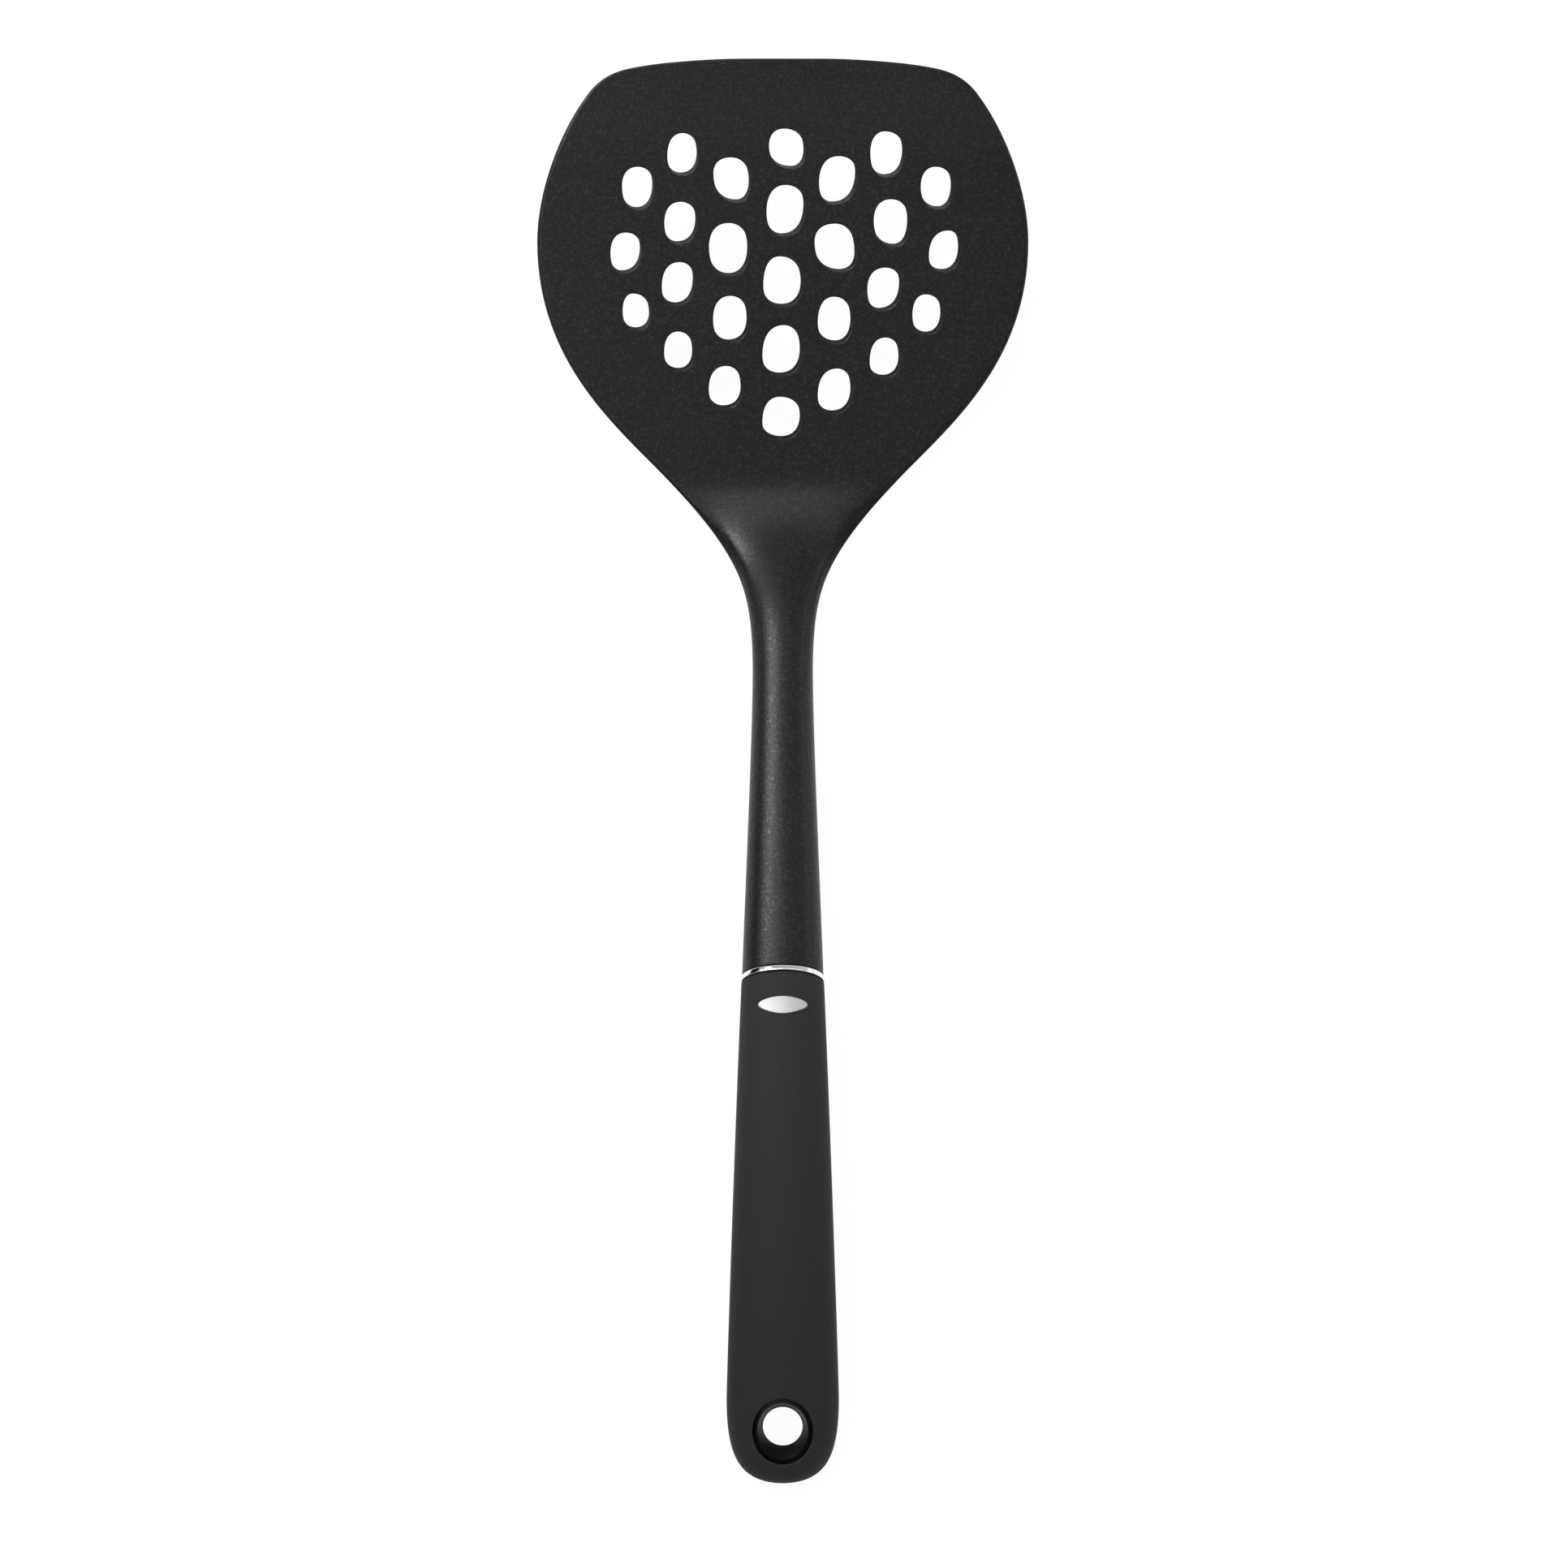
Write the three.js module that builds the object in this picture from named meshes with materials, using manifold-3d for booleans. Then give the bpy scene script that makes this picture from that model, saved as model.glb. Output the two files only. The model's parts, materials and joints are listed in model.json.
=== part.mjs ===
// Kitchen turner: a perforated nylon blade on a rising stem, a bright trim ring and a soft grip.
// Millimetres. It is drawn in the blade's frame, with +Y towards the front edge, +Z up from the
// blade's underside and the heel at y = 0, and is then tilted to lie as it rests on a table.
import * as THREE from "three";
import { mergeVertices } from "three/addons/utils/BufferGeometryUtils.js";
import Module from "manifold-3d";

const wasm = await Module();
wasm.setup();

// Blade, a flat plate with bowed front edge and soft corners
const bladeLength = 98.4; // heel to front edge
const bladeWidth = 115;
const bladeThickness = 2;
const widestAt = 55.4; // from the heel
const frontFlat = 17; // straight middle of the front edge
const frontThickness = 1;
const frontTaper = 25; // length over which the plate thins to its front edge
const frontBow = 2.35; // front edge back to the start of a corner
const frontInset = 21.5; // side to the start of a corner
const cornerDrop = 9; // front edge back to the end of a corner
const cornerInset = 11.4; // side to the end of a corner
const heelWidth = 54.4;
const heelFlare = 0.95; // how fast the sides open at the heel, sideways per length

// Stem, by distance back from the heel along its centre line
const bendLength = 27; // the plate curls up over this length
const bendAngle = 39; // degrees, at the steepest
const crownLength = 26; // the top rises to its crest over this length
const swellFrom = 9; // where the underside begins to round
const neckLength = 51.7; // where the stem is narrowest
const neckSquareness = 3.2; // of the top's section at the heel, easing to the stem's
const stemAngle = 24; // degrees
const stemLength = 127.9; // heel to the shoulder at the ring
const stemWidth = 13.8;
const stemCrest = 6; // centre line to the top
const stemKeel = 5.4; // centre line to the underside
const stemEndWidth = 18.4;
const stemEndCrest = 7.3;
const stemEndKeel = 6.7;

// Trim ring between stem and grip
const ringWidth = 1.2;
const ringProud = 0.25;
const seam = 0.25; // gap on each side of the ring
const clearance = 0.3; // between pieces that fit in each other

// Grip, by distance back from its front face
const gripLength = 116;
const gripStartWidth = 18.9;
const gripWidth = 25.3; // widest, near the tail
const tailLength = 18.9; // widest place to the end
const gripStartCrest = 7.5;
const gripStartKeel = 6.9;
const gripMidCrest = 9.3;
const gripMidKeel = 8.6;
const gripMidAt = 52;
const gripTailCrest = 7.7;
const gripTailKeel = 7.3;
const tailRound = 10; // length over which the tail rounds off, seen from the side
const tailAngle = -8; // degrees
const tailSquareness = 2.4; // of that rounding, 2 is an ellipse
const archPower = 1.8; // above 1 the grip bends down more towards its tail
const skin = 2.2; // soft layer over the rigid core

// Tang, the hidden end of the stem that the core is moulded round
const tangLength = 42;
const tangTaper = 0.8; // lost from width and depth towards the end
const tangRoot = 4; // how far it runs into the stem
const coreWall = 1.2; // left in the core beside the tang and under the badge's pegs
const grooveCount = 2; // locking grooves round the tang
const grooveDepth = 0.8;
const grooveWidth = 4;

// Hang hole, a funnel into the tail from both faces
const holeFromTail = 12.9;
const throatDiameter = 8.9;
const throatDepth = 4.8; // grip's crest down to the narrowest place
const rimWidth = 13.9;
const rimLength = 14.8;
const rimShift = 0.5; // rim's centre behind the throat's
const lip = 0.95; // how far the soft skin's edge slopes in

// Badge, a bare oval plate with narrow ends, let into the grip
const badgeAt = 8.5; // back from the grip's front face
const badgeWidth = 11.2;
const badgeLength = 4.3;
const badgeSquareness = 1.7; // 2 is an ellipse, less is more pointed
const badgeThickness = 1;
const badgeProud = 0.15;
const pegDiameter = 2;
const pegSpacing = 5.2;
const pegReach = 1; // into the core

// Drain holes, pebbles in columns that stand side by side: x, then y, width, length and how far the
// front, right, back and left points of the outline lean off centre, as shares of the half sizes
const drainRim = 0.5; // rounding of each hole's edge
const drainMargin = 6; // a hole that would come nearer to the blade's outline is left out
const drainHoles = [
  [-34.1, 68.3, 7.0, 9.3, 0, -0.1, 0, -0.1],
  [-36.9, 53.2, 6.8, 8.7, 0, -0.15, -0.2, 0],
  [-34.4, 39.4, 6.1, 7.8, -0.25, 0.2, 0, -0.05],
  [-23.6, 76.3, 6.8, 9.1, 0, 0.05, -0.05, 0.1],
  [-24.1, 60.2, 7.2, 9.1, 0, -0.1, -0.15, 0],
  [-24.7, 46.0, 7.2, 9.3, 0.1, -0.15, -0.1, 0.15],
  [-24.5, 30.2, 6.5, 8.4, -0.05, 0.1, 0.05, 0.05],
  [-12.1, 70.3, 8.2, 9.7, -0.05, 0.15, 0.3, -0.3],
  [-12.8, 54.0, 8.9, 11.6, 0, 0, 0.05, -0.1],
  [-12.4, 37.7, 7.8, 10.1, 0, 0.05, -0.05, 0],
  [-13.6, 21.8, 7.4, 9.1, 0.05, 0.1, -0.05, 0.1],
  [0.8, 77.6, 8.0, 8.6, -0.15, 0.15, 0.3, -0.15],
  [0.5, 63.1, 8.6, 11.2, 0, -0.15, -0.15, 0.05],
  [-0.2, 46.5, 8.7, 11.0, -0.15, 0.1, 0, 0.15],
  [-0.4, 30.4, 8.7, 11.0, 0.1, 0.05, -0.05, 0.2],
  [-0.4, 14.6, 8.7, 9.1, -0.1, 0, 0.05, 0.2],
  [12.7, 70.2, 8.4, 10.5, 0.05, -0.25, -0.25, 0.1],
  [12.1, 54.4, 9.3, 10.5, 0, 0.3, 0.25, -0.25],
  [12.0, 37.5, 7.6, 10.1, -0.05, 0.05, 0.1, 0.1],
  [12.0, 20.9, 7.6, 9.7, 0.15, 0, -0.1, 0.2],
  [24.2, 76.3, 7.4, 9.9, -0.1, -0.1, -0.1, -0.05],
  [25.2, 60.2, 7.8, 10.3, 0, -0.05, 0.2, -0.1],
  [23.5, 44.7, 7.4, 9.3, 0.1, -0.2, -0.25, 0],
  [23.7, 28.7, 6.7, 8.6, 0.05, 0.05, -0.05, 0.2],
  [35.8, 68.4, 7.0, 9.1, -0.05, -0.05, 0.15, -0.05],
  [37.6, 53.6, 6.8, 8.9, 0.3, -0.1, -0.1, 0.25],
  [33.6, 38.8, 6.5, 8.6, -0.1, 0, 0, 0.05],
];

// Fineness of the facets
const sides = 32; // points round a section, a multiple of 8
const innerSides = 24;
const holeSides = 4; // steps in each quarter of a drain hole
const badgeSides = 48;
const pegSides = 12;
const bladeSteps = [4, 5, 6, 8, 12, 5]; // sections along each curve of the blade's outline
const gripSteps = [9, 9]; // and of the grip's
const squareness = 2; // of a section, 2 is an ellipse and more is squarer
const tangSquareness = 4;
const spineStep = 0.5;
const overcut = 3; // cutters run this far past a surface

const gripStart = stemLength + ringWidth + 2 * seam;
const gripWidestAt = gripLength - tailLength;
const totalBack = gripStart + gripLength;
const tangWidth = gripStartWidth - 2 * (skin + coreWall + 2 * clearance);
const tangDepth = 2 * (gripStartCrest - skin - pegReach - coreWall - 2 * clearance);

const lerp = THREE.MathUtils.lerp;
const clamp = THREE.MathUtils.clamp;
const smoothstep = THREE.MathUtils.smoothstep;

// Centre line seen from the side: its angle above the blade, at a distance back from the heel.
function heading(back) {
  if (back <= 0) return 0;
  if (back < bendLength) return bendAngle * smoothstep(back, 0, bendLength);
  if (back < gripStart) return lerp(bendAngle, stemAngle, smoothstep(back, bendLength, neckLength));
  return lerp(stemAngle, tailAngle, ((back - gripStart) / gripLength) ** archPower);
}

const spine = [{ y: 0, z: 0 }];
for (let back = 0; back < totalBack; back += spineStep) {
  const last = spine.at(-1);
  const angle = THREE.MathUtils.degToRad(heading(back + spineStep / 2));
  spine.push({ y: last.y - spineStep * Math.cos(angle), z: last.z + spineStep * Math.sin(angle) });
}

// Frame on the centre line: x across, y towards the front edge, z up out of the top.
function spineFrame(back) {
  const whole = clamp(Math.floor(back / spineStep), 0, spine.length - 2);
  const share = back / spineStep - whole;
  const y = back < 0 ? -back : lerp(spine[whole].y, spine[whole + 1].y, share);
  const z = back < 0 ? 0 : lerp(spine[whole].z, spine[whole + 1].z, share);
  const angle = THREE.MathUtils.degToRad(heading(back));
  return new THREE.Matrix4().makeRotationX(-angle).setPosition(0, y, z);
}

// Section of a flat plate with round edges, as [x, up] points from the right edge over the top.
function plateSection(half, thickness, count) {
  const quarter = count / 4;
  const edgeSteps = quarter / 4;
  const radius = thickness / 2;
  return Array.from({ length: count }, (_, i) => {
    const step = quarter - Math.abs((i % (2 * quarter)) - quarter);
    const angle = (Math.min(step / edgeSteps, 1) * Math.PI) / 2;
    const inner = (quarter - step) / (quarter - edgeSteps);
    const x = step < edgeSteps ? half - radius * (1 - Math.cos(angle)) : (half - radius) * inner;
    const right = i <= quarter || i > 3 * quarter;
    const top = i < 2 * quarter;
    return [right ? x : -x, radius + (top ? 1 : -1) * radius * Math.sin(angle)];
  });
}

// Section of a rounded bar, from its half width and its heights above and below the centre line.
function barSection(half, crest, keel, count, power = squareness) {
  return Array.from({ length: count }, (_, i) => {
    const angle = (2 * Math.PI * i) / count;
    const across = Math.cos(angle);
    const up = Math.sin(angle);
    const x = half * Math.sign(across) * Math.abs(across) ** (2 / power);
    return [x, (up > 0 ? crest : -keel) * Math.abs(up) ** (2 / power)];
  });
}

function placeSection(section, back) {
  const frame = spineFrame(back);
  return section.map(([x, up]) => new THREE.Vector3(x, 0, up).applyMatrix4(frame));
}

// Closed solid through rings of points. The rings turn anticlockwise seen from the loft's far end,
// and each end is closed by a fan to its middle or to the tip that is given.
function loft(rings, tip) {
  const count = rings[0].length;
  const middle = (ring) => ring.reduce((sum, p) => sum.add(p), new THREE.Vector3()).divideScalar(count);
  const points = [...rings.flat(), middle(rings[0]), tip ?? middle(rings.at(-1))];
  const lastRing = (rings.length - 1) * count;
  const startMiddle = points.length - 2;
  const endMiddle = points.length - 1;
  const faces = [];
  for (let i = 0; i < count; i++) {
    const next = (i + 1) % count;
    faces.push(startMiddle, next, i);
    faces.push(endMiddle, lastRing + i, lastRing + next);
    for (let start = 0; start < lastRing; start += count) {
      faces.push(start + i, start + next, start + count + i);
      faces.push(start + next, start + count + next, start + count + i);
    }
  }
  const vertProperties = new Float32Array(points.flatMap((p) => [p.x, p.y, p.z]));
  const triVerts = new Uint32Array(faces);
  return new wasm.Manifold(new wasm.Mesh({ numProp: 3, vertProperties, triVerts }));
}

// Solid from one of the library's closed shapes.
function solidFrom(geometry) {
  geometry.deleteAttribute("normal");
  geometry.deleteAttribute("uv");
  const merged = mergeVertices(geometry, 1e-4);
  const vertProperties = new Float32Array(merged.attributes.position.array);
  const triVerts = new Uint32Array(merged.index.array);
  return new wasm.Manifold(new wasm.Mesh({ numProp: 3, vertProperties, triVerts }));
}

function meshFrom(name, solid, material) {
  const { vertProperties, triVerts } = solid.getMesh();
  const geometry = new THREE.BufferGeometry();
  geometry.setAttribute("position", new THREE.BufferAttribute(vertProperties, 3));
  geometry.setIndex(new THREE.BufferAttribute(triVerts, 1));
  geometry.computeVertexNormals();
  const mesh = new THREE.Mesh(geometry, material);
  mesh.name = name;
  return mesh;
}

// Half outline of blade, neck and stem, as (half width, distance forward of the heel).
function bladePlan() {
  const half = bladeWidth / 2;
  const heel = heelWidth / 2;
  const stem = stemWidth / 2;
  const stemEnd = stemEndWidth / 2;
  const front = { x: frontFlat / 2, y: bladeLength };
  const edge = { x: half - frontInset, y: bladeLength - frontBow };
  const corner = { x: half - cornerInset, y: bladeLength - cornerDrop };
  const turn = { x: corner.x - edge.x, y: edge.y - corner.y };
  const side = corner.y - widestAt;
  const heelReach = 0.214 * widestAt;
  const neckReach = 0.311 * neckLength;
  const stemAlong = (share) => -lerp(neckLength, stemLength, share);
  const plan = new THREE.Path();
  plan.moveTo(front.x, front.y);
  plan.bezierCurveTo(
    lerp(front.x, edge.x, 0.3), front.y,
    lerp(front.x, edge.x, 0.77), front.y - 0.37 * frontBow,
    edge.x, edge.y,
  );
  plan.bezierCurveTo(
    edge.x + 0.5 * turn.x, edge.y - 0.15 * turn.y,
    corner.x - 0.2 * turn.x, corner.y + 0.46 * turn.y,
    corner.x, corner.y,
  );
  plan.bezierCurveTo(
    corner.x + 0.51 * cornerInset, corner.y - 0.23 * side,
    half, widestAt + 0.36 * side,
    half, widestAt,
  );
  plan.bezierCurveTo(
    half, 0.485 * widestAt,
    heel + heelFlare * heelReach, heelReach,
    heel, 0,
  );
  plan.bezierCurveTo(
    heel - heelFlare * neckReach, -neckReach,
    stem, -0.548 * neckLength,
    stem, -neckLength,
  );
  plan.bezierCurveTo(
    stem, stemAlong(0.2),
    lerp(stem, stemEnd, 0.64), stemAlong(0.66),
    stemEnd, -stemLength,
  );
  return plan;
}

// Points of each curve of an outline in turn, without repeating the joints.
function planPoints(plan, stepsPerCurve) {
  return plan.curves.flatMap((curve, i) => curve.getPoints(stepsPerCurve[i]).slice(i ? 1 : 0));
}

// Section of the moulding: plate on the blade, then an oval bar. The top crowns from the heel on,
// and the underside and the edges follow later.
function stemSection(half, along) {
  const back = -along;
  const thin = smoothstep(along, bladeLength - frontTaper, bladeLength);
  const thickness = lerp(bladeThickness, frontThickness, thin);
  const plate = plateSection(half, thickness, sides);
  if (back <= 0) return plate;
  const crowned = 1 - (1 - clamp(back / crownLength, 0, 1)) ** 2;
  const swollen = smoothstep(back, swellFrom, neckLength);
  const grown = clamp((back - neckLength) / (stemLength - neckLength), 0, 1);
  const crest = lerp(stemCrest, stemEndCrest, grown);
  const keel = lerp(stemKeel, stemEndKeel, grown);
  const power = lerp(neckSquareness, squareness, smoothstep(back, 0, neckLength));
  const bar = barSection(half, crest, keel, sides, power);
  const edge = lerp(thickness / 2, 0, swollen);
  return plate.map(([x, up], i) => {
    const top = i > 0 && i < sides / 2;
    const share = top ? crowned : swollen;
    return [lerp(x, bar[i][0], share), edge + lerp(up - thickness / 2, bar[i][1], share)];
  });
}

// Pebble outline round its own centre, anticlockwise from the front point.
function pebblePoints(width, length, [front, right, back, left]) {
  const a = width / 2;
  const b = length / 2;
  const spots = [
    [front * a, b],
    [-a, -left * b],
    [back * a, -b],
    [a, -right * b],
  ];
  const bulge = 0.63;
  const outline = new THREE.Path();
  outline.moveTo(...spots[0]);
  spots.forEach(([x, y], i) => {
    const [nextX, nextY] = spots[(i + 1) % 4];
    const acrossFirst = i % 2 === 0;
    outline.bezierCurveTo(
      acrossFirst ? lerp(x, nextX, bulge) : x, acrossFirst ? y : lerp(y, nextY, bulge),
      acrossFirst ? nextX : lerp(nextX, x, bulge), acrossFirst ? lerp(nextY, y, bulge) : nextY,
      nextX, nextY,
    );
  });
  return outline.curves.flatMap((curve) => curve.getPoints(holeSides).slice(1));
}

// Cutter for one drain hole, flared at both faces so that the plate keeps a rounded rim.
function drainCutter([x, y, width, length, ...lean]) {
  const outline = pebblePoints(width, length, lean);
  const stack = [
    [-drainRim, 2 * drainRim],
    [drainRim, 0],
    [bladeThickness - drainRim, 0],
    [bladeThickness + drainRim, 2 * drainRim],
  ];
  const rings = stack.map(([z, grow]) => {
    const scaleX = 1 + (2 * grow) / width;
    const scaleY = 1 + (2 * grow) / length;
    return outline.map((p) => new THREE.Vector3(x + p.x * scaleX, y + p.y * scaleY, z));
  });
  return loft(rings);
}

// Tang behind the shoulder, or the space for it when grown by a clearance.
function tangSolid(from, grow) {
  const stations = [[from, 0]];
  for (let groove = 1; groove <= grooveCount; groove++) {
    const spot = (tangLength * groove) / (grooveCount + 1);
    stations.push([spot - grooveWidth / 2, 0], [spot - grooveWidth / 4, grooveDepth]);
    stations.push([spot + grooveWidth / 4, grooveDepth], [spot + grooveWidth / 2, 0]);
  }
  stations.push([tangLength + grow, 0]);
  const rings = stations.map(([at, cut]) => {
    const loss = (tangTaper / 2) * clamp(at / tangLength, 0, 1) + cut;
    const half = tangWidth / 2 - loss + grow;
    const depth = tangDepth / 2 - loss + grow;
    const section = barSection(half, depth, depth, innerSides, tangSquareness);
    return placeSection(section, stemLength + at);
  });
  return loft(rings);
}

function bladeAndStem() {
  const rows = planPoints(bladePlan(), bladeSteps);
  const body = loft(rows.map((p) => placeSection(stemSection(p.x, p.y), -p.y)));
  const roomFor = ([x, y, width, length]) => {
    const near = rows.filter((p) => Math.abs(p.y - y) < length / 2 + drainMargin);
    const least = Math.min(...near.map((p) => p.x));
    const low = y - length / 2 - drainMargin;
    const high = y + length / 2 + drainMargin;
    return low > 0 && high < bladeLength && Math.abs(x) + width / 2 + drainMargin < least;
  };
  const holes = drainHoles.filter(roomFor);
  const drilled = holes.reduce((solid, hole) => solid.subtract(drainCutter(hole)), body);
  return drilled.add(tangSolid(-tangRoot, 0));
}

// Grip's outer form, drawn in by an inset for the layers inside it.
function gripForm(inset, count, runOut = 0) {
  const start = gripStartWidth / 2 - inset;
  const half = gripWidth / 2 - inset;
  const length = gripLength - inset;
  const tail = length - gripWidestAt;
  const plan = new THREE.Path();
  plan.moveTo(start, 0);
  plan.bezierCurveTo(
    lerp(start, half, 0.32), 0.275 * gripWidestAt,
    half, 0.965 * gripWidestAt,
    half, gripWidestAt,
  );
  plan.bezierCurveTo(
    half, gripWidestAt + 0.685 * tail,
    0.745 * half, length,
    0, length,
  );
  const rows = planPoints(plan, gripSteps).slice(0, -1);
  if (runOut) rows.unshift(new THREE.Vector2(start, -runOut));
  const rings = rows.map((p) => {
    const [crest, keel] = gripHeights(p.y);
    const beforeEnd = clamp(1 - (length - p.y) / tailRound, 0, 1);
    const round = (1 - beforeEnd ** tailSquareness) ** (1 / tailSquareness);
    const section = barSection(p.x, (crest - inset) * round, (keel - inset) * round, count);
    return placeSection(section, gripStart + p.y);
  });
  return loft(rings, new THREE.Vector3().applyMatrix4(spineFrame(gripStart + length)));
}

// Crest and keel of the grip: a smooth swell to the middle and back down to the tail.
function gripHeights(along) {
  const rising = smoothstep(along, -gripMidAt, gripMidAt) * 2 - 1;
  const falling = smoothstep(along, gripMidAt, gripLength);
  if (along < gripMidAt) {
    const share = clamp(rising, 0, 1);
    return [lerp(gripStartCrest, gripMidCrest, share), lerp(gripStartKeel, gripMidKeel, share)];
  }
  return [lerp(gripMidCrest, gripTailCrest, falling), lerp(gripMidKeel, gripTailKeel, falling)];
}

// Stack of ovals along the hang hole's axis: height, half width, half length, shift to the tail.
function hangCutter(stack, count) {
  const frame = spineFrame(totalBack - holeFromTail);
  const rings = stack.map(([up, a, b, shift]) =>
    Array.from({ length: count }, (_, i) => {
      const angle = (2 * Math.PI * i) / count;
      return new THREE.Vector3(a * Math.cos(angle), b * Math.sin(angle) - shift, up).applyMatrix4(frame);
    }),
  );
  return loft(rings);
}

// Oval prism square to the grip's crest, for the badge and its pocket.
function badgePrism(grow) {
  const half = badgeLength / 2 + grow;
  const points = barSection(badgeWidth / 2 + grow, half, half, badgeSides, badgeSquareness);
  const outline = new THREE.Shape(points.map(([x, y]) => new THREE.Vector2(x, y)));
  const prism = new THREE.ExtrudeGeometry(outline, { depth: 2 * gripMidCrest, bevelEnabled: false });
  return solidFrom(prism.applyMatrix4(spineFrame(gripStart + badgeAt)));
}

// The badge's two pegs, or the holes for them.
function badgePegs(grow) {
  const top = gripStartCrest - badgeThickness / 2;
  const length = skin + clearance + pegReach - badgeThickness / 2 + grow;
  const peg = (x) => {
    const radius = pegDiameter / 2 + grow;
    const pin = new THREE.CylinderGeometry(radius, radius, length, pegSides);
    pin.rotateX(Math.PI / 2).translate(x, 0, top - length / 2);
    return solidFrom(pin.applyMatrix4(spineFrame(gripStart + badgeAt)));
  };
  return peg(-pegSpacing / 2).add(peg(pegSpacing / 2));
}

function badgePlate() {
  return badgePrism(0)
    .intersect(gripForm(-badgeProud, sides))
    .subtract(gripForm(badgeThickness, sides))
    .add(badgePegs(0));
}

function trimRing() {
  const from = stemLength + seam;
  const band = [
    [0, 0],
    [0.2, 0.8],
    [0.5, 1],
    [0.8, 0.8],
    [1, 0],
  ];
  const rings = band.map(([share, dome]) => {
    const grow = ringProud * dome;
    const half = lerp(stemEndWidth, gripStartWidth, share) / 2 + grow;
    const crest = lerp(stemEndCrest, gripStartCrest, share) + grow;
    const keel = lerp(stemEndKeel, gripStartKeel, share) + grow;
    return placeSection(barSection(half, crest, keel, sides), from + share * ringWidth);
  });
  return loft(rings).subtract(tangSolid(-seam, clearance));
}

function handleCore() {
  const inset = skin + clearance;
  const [crest, keel] = gripHeights(gripLength - holeFromTail);
  const throat = throatDiameter / 2;
  const mouthHalf = rimWidth / 2 - lip;
  const mouthLong = rimLength / 2 - lip;
  const ridge = crest - throatDepth;
  const mouth = (surface) => {
    const share = 1 + overcut / Math.abs(surface - ridge);
    const half = lerp(throat, mouthHalf, share);
    const long = lerp(throat, mouthLong, share);
    return [lerp(ridge, surface, share), half, long, rimShift * share];
  };
  const stack = [mouth(inset - keel), [ridge, throat, throat, 0], mouth(crest - inset)];
  return gripForm(inset, innerSides)
    .subtract(tangSolid(ringWidth, clearance))
    .subtract(hangCutter(stack, innerSides))
    .subtract(badgePegs(clearance));
}

function softGrip() {
  const [crest, keel] = gripHeights(gripLength - holeFromTail);
  const flare = (overcut * lip) / skin;
  const rim = (surface, side) => [
    [side * (surface + overcut), rimWidth / 2 + flare, rimLength / 2 + flare, rimShift],
    [side * (surface - skin), rimWidth / 2 - lip, rimLength / 2 - lip, rimShift],
  ];
  const opening = hangCutter([...rim(keel, -1), ...rim(crest, 1).reverse()], innerSides);
  const pocket = badgePrism(clearance).subtract(gripForm(badgeThickness + clearance, sides));
  return gripForm(0, sides)
    .subtract(gripForm(skin, innerSides, overcut))
    .subtract(opening)
    .subtract(pocket)
    .subtract(badgePegs(clearance));
}

const nylon = new THREE.MeshStandardMaterial({ color: 0x2a2a2c, roughness: 0.45, metalness: 0 });
const chrome = new THREE.MeshStandardMaterial({ color: 0xe4e5e8, roughness: 0.08, metalness: 1 });
const rigid = new THREE.MeshStandardMaterial({ color: 0x242426, roughness: 0.5, metalness: 0 });
const soft = new THREE.MeshStandardMaterial({ color: 0x303033, roughness: 0.75, metalness: 0 });
const satin = new THREE.MeshStandardMaterial({ color: 0xd8d9dc, roughness: 0.25, metalness: 1 });

const tool = new THREE.Group();
const blade = meshFrom("blade_and_stem", bladeAndStem(), nylon);
const grip = meshFrom("soft_grip", softGrip(), soft);
tool.add(blade, grip);
tool.add(meshFrom("trim_ring", trimRing(), chrome));
tool.add(meshFrom("handle_core", handleCore(), rigid));
tool.add(meshFrom("badge_plate", badgePlate(), satin));

// Lowest point of a mesh in side view once the tool is tilted.
function lowestPoint(mesh, tilt) {
  const at = mesh.geometry.attributes.position;
  const height = (i) => at.getY(i) * Math.sin(tilt) + at.getZ(i) * Math.cos(tilt);
  let best = 0;
  for (let i = 1; i < at.count; i++) {
    if (height(i) < height(best)) best = i;
  }
  return { y: at.getY(best), z: at.getZ(best) };
}

// It lies on the curl behind the blade and on the underside of the tail.
let tilt = 0;
for (let pass = 0; pass < 8; pass++) {
  const heel = lowestPoint(blade, tilt);
  const tail = lowestPoint(grip, tilt);
  tilt = Math.atan2(tail.z - heel.z, heel.y - tail.y);
}
tool.rotation.x = tilt;
const box = new THREE.Box3().setFromObject(tool, true);
const middle = box.getCenter(new THREE.Vector3());
tool.position.set(-middle.x, -middle.y, -box.min.z);

const turner = new THREE.Group();
turner.add(tool);

export default turner;
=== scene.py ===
import bisect
import json
import math
import bmesh
import bpy
from mathutils import Matrix, Vector
from mathutils.geometry import delaunay_2d_cdt


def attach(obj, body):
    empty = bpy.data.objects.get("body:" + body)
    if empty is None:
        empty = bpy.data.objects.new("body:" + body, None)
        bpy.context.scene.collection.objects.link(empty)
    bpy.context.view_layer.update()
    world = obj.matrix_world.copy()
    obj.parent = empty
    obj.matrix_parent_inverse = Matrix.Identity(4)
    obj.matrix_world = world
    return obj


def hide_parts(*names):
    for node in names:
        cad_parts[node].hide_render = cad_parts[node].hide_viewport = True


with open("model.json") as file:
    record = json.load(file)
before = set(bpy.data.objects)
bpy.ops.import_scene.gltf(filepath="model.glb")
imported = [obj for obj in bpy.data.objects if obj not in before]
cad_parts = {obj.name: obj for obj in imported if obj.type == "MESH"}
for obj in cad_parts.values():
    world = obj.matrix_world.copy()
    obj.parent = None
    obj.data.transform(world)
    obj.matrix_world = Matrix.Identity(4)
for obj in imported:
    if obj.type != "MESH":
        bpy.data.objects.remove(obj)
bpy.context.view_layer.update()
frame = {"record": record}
scene = bpy.context.scene
scene.view_settings.view_transform = "Standard"

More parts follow.
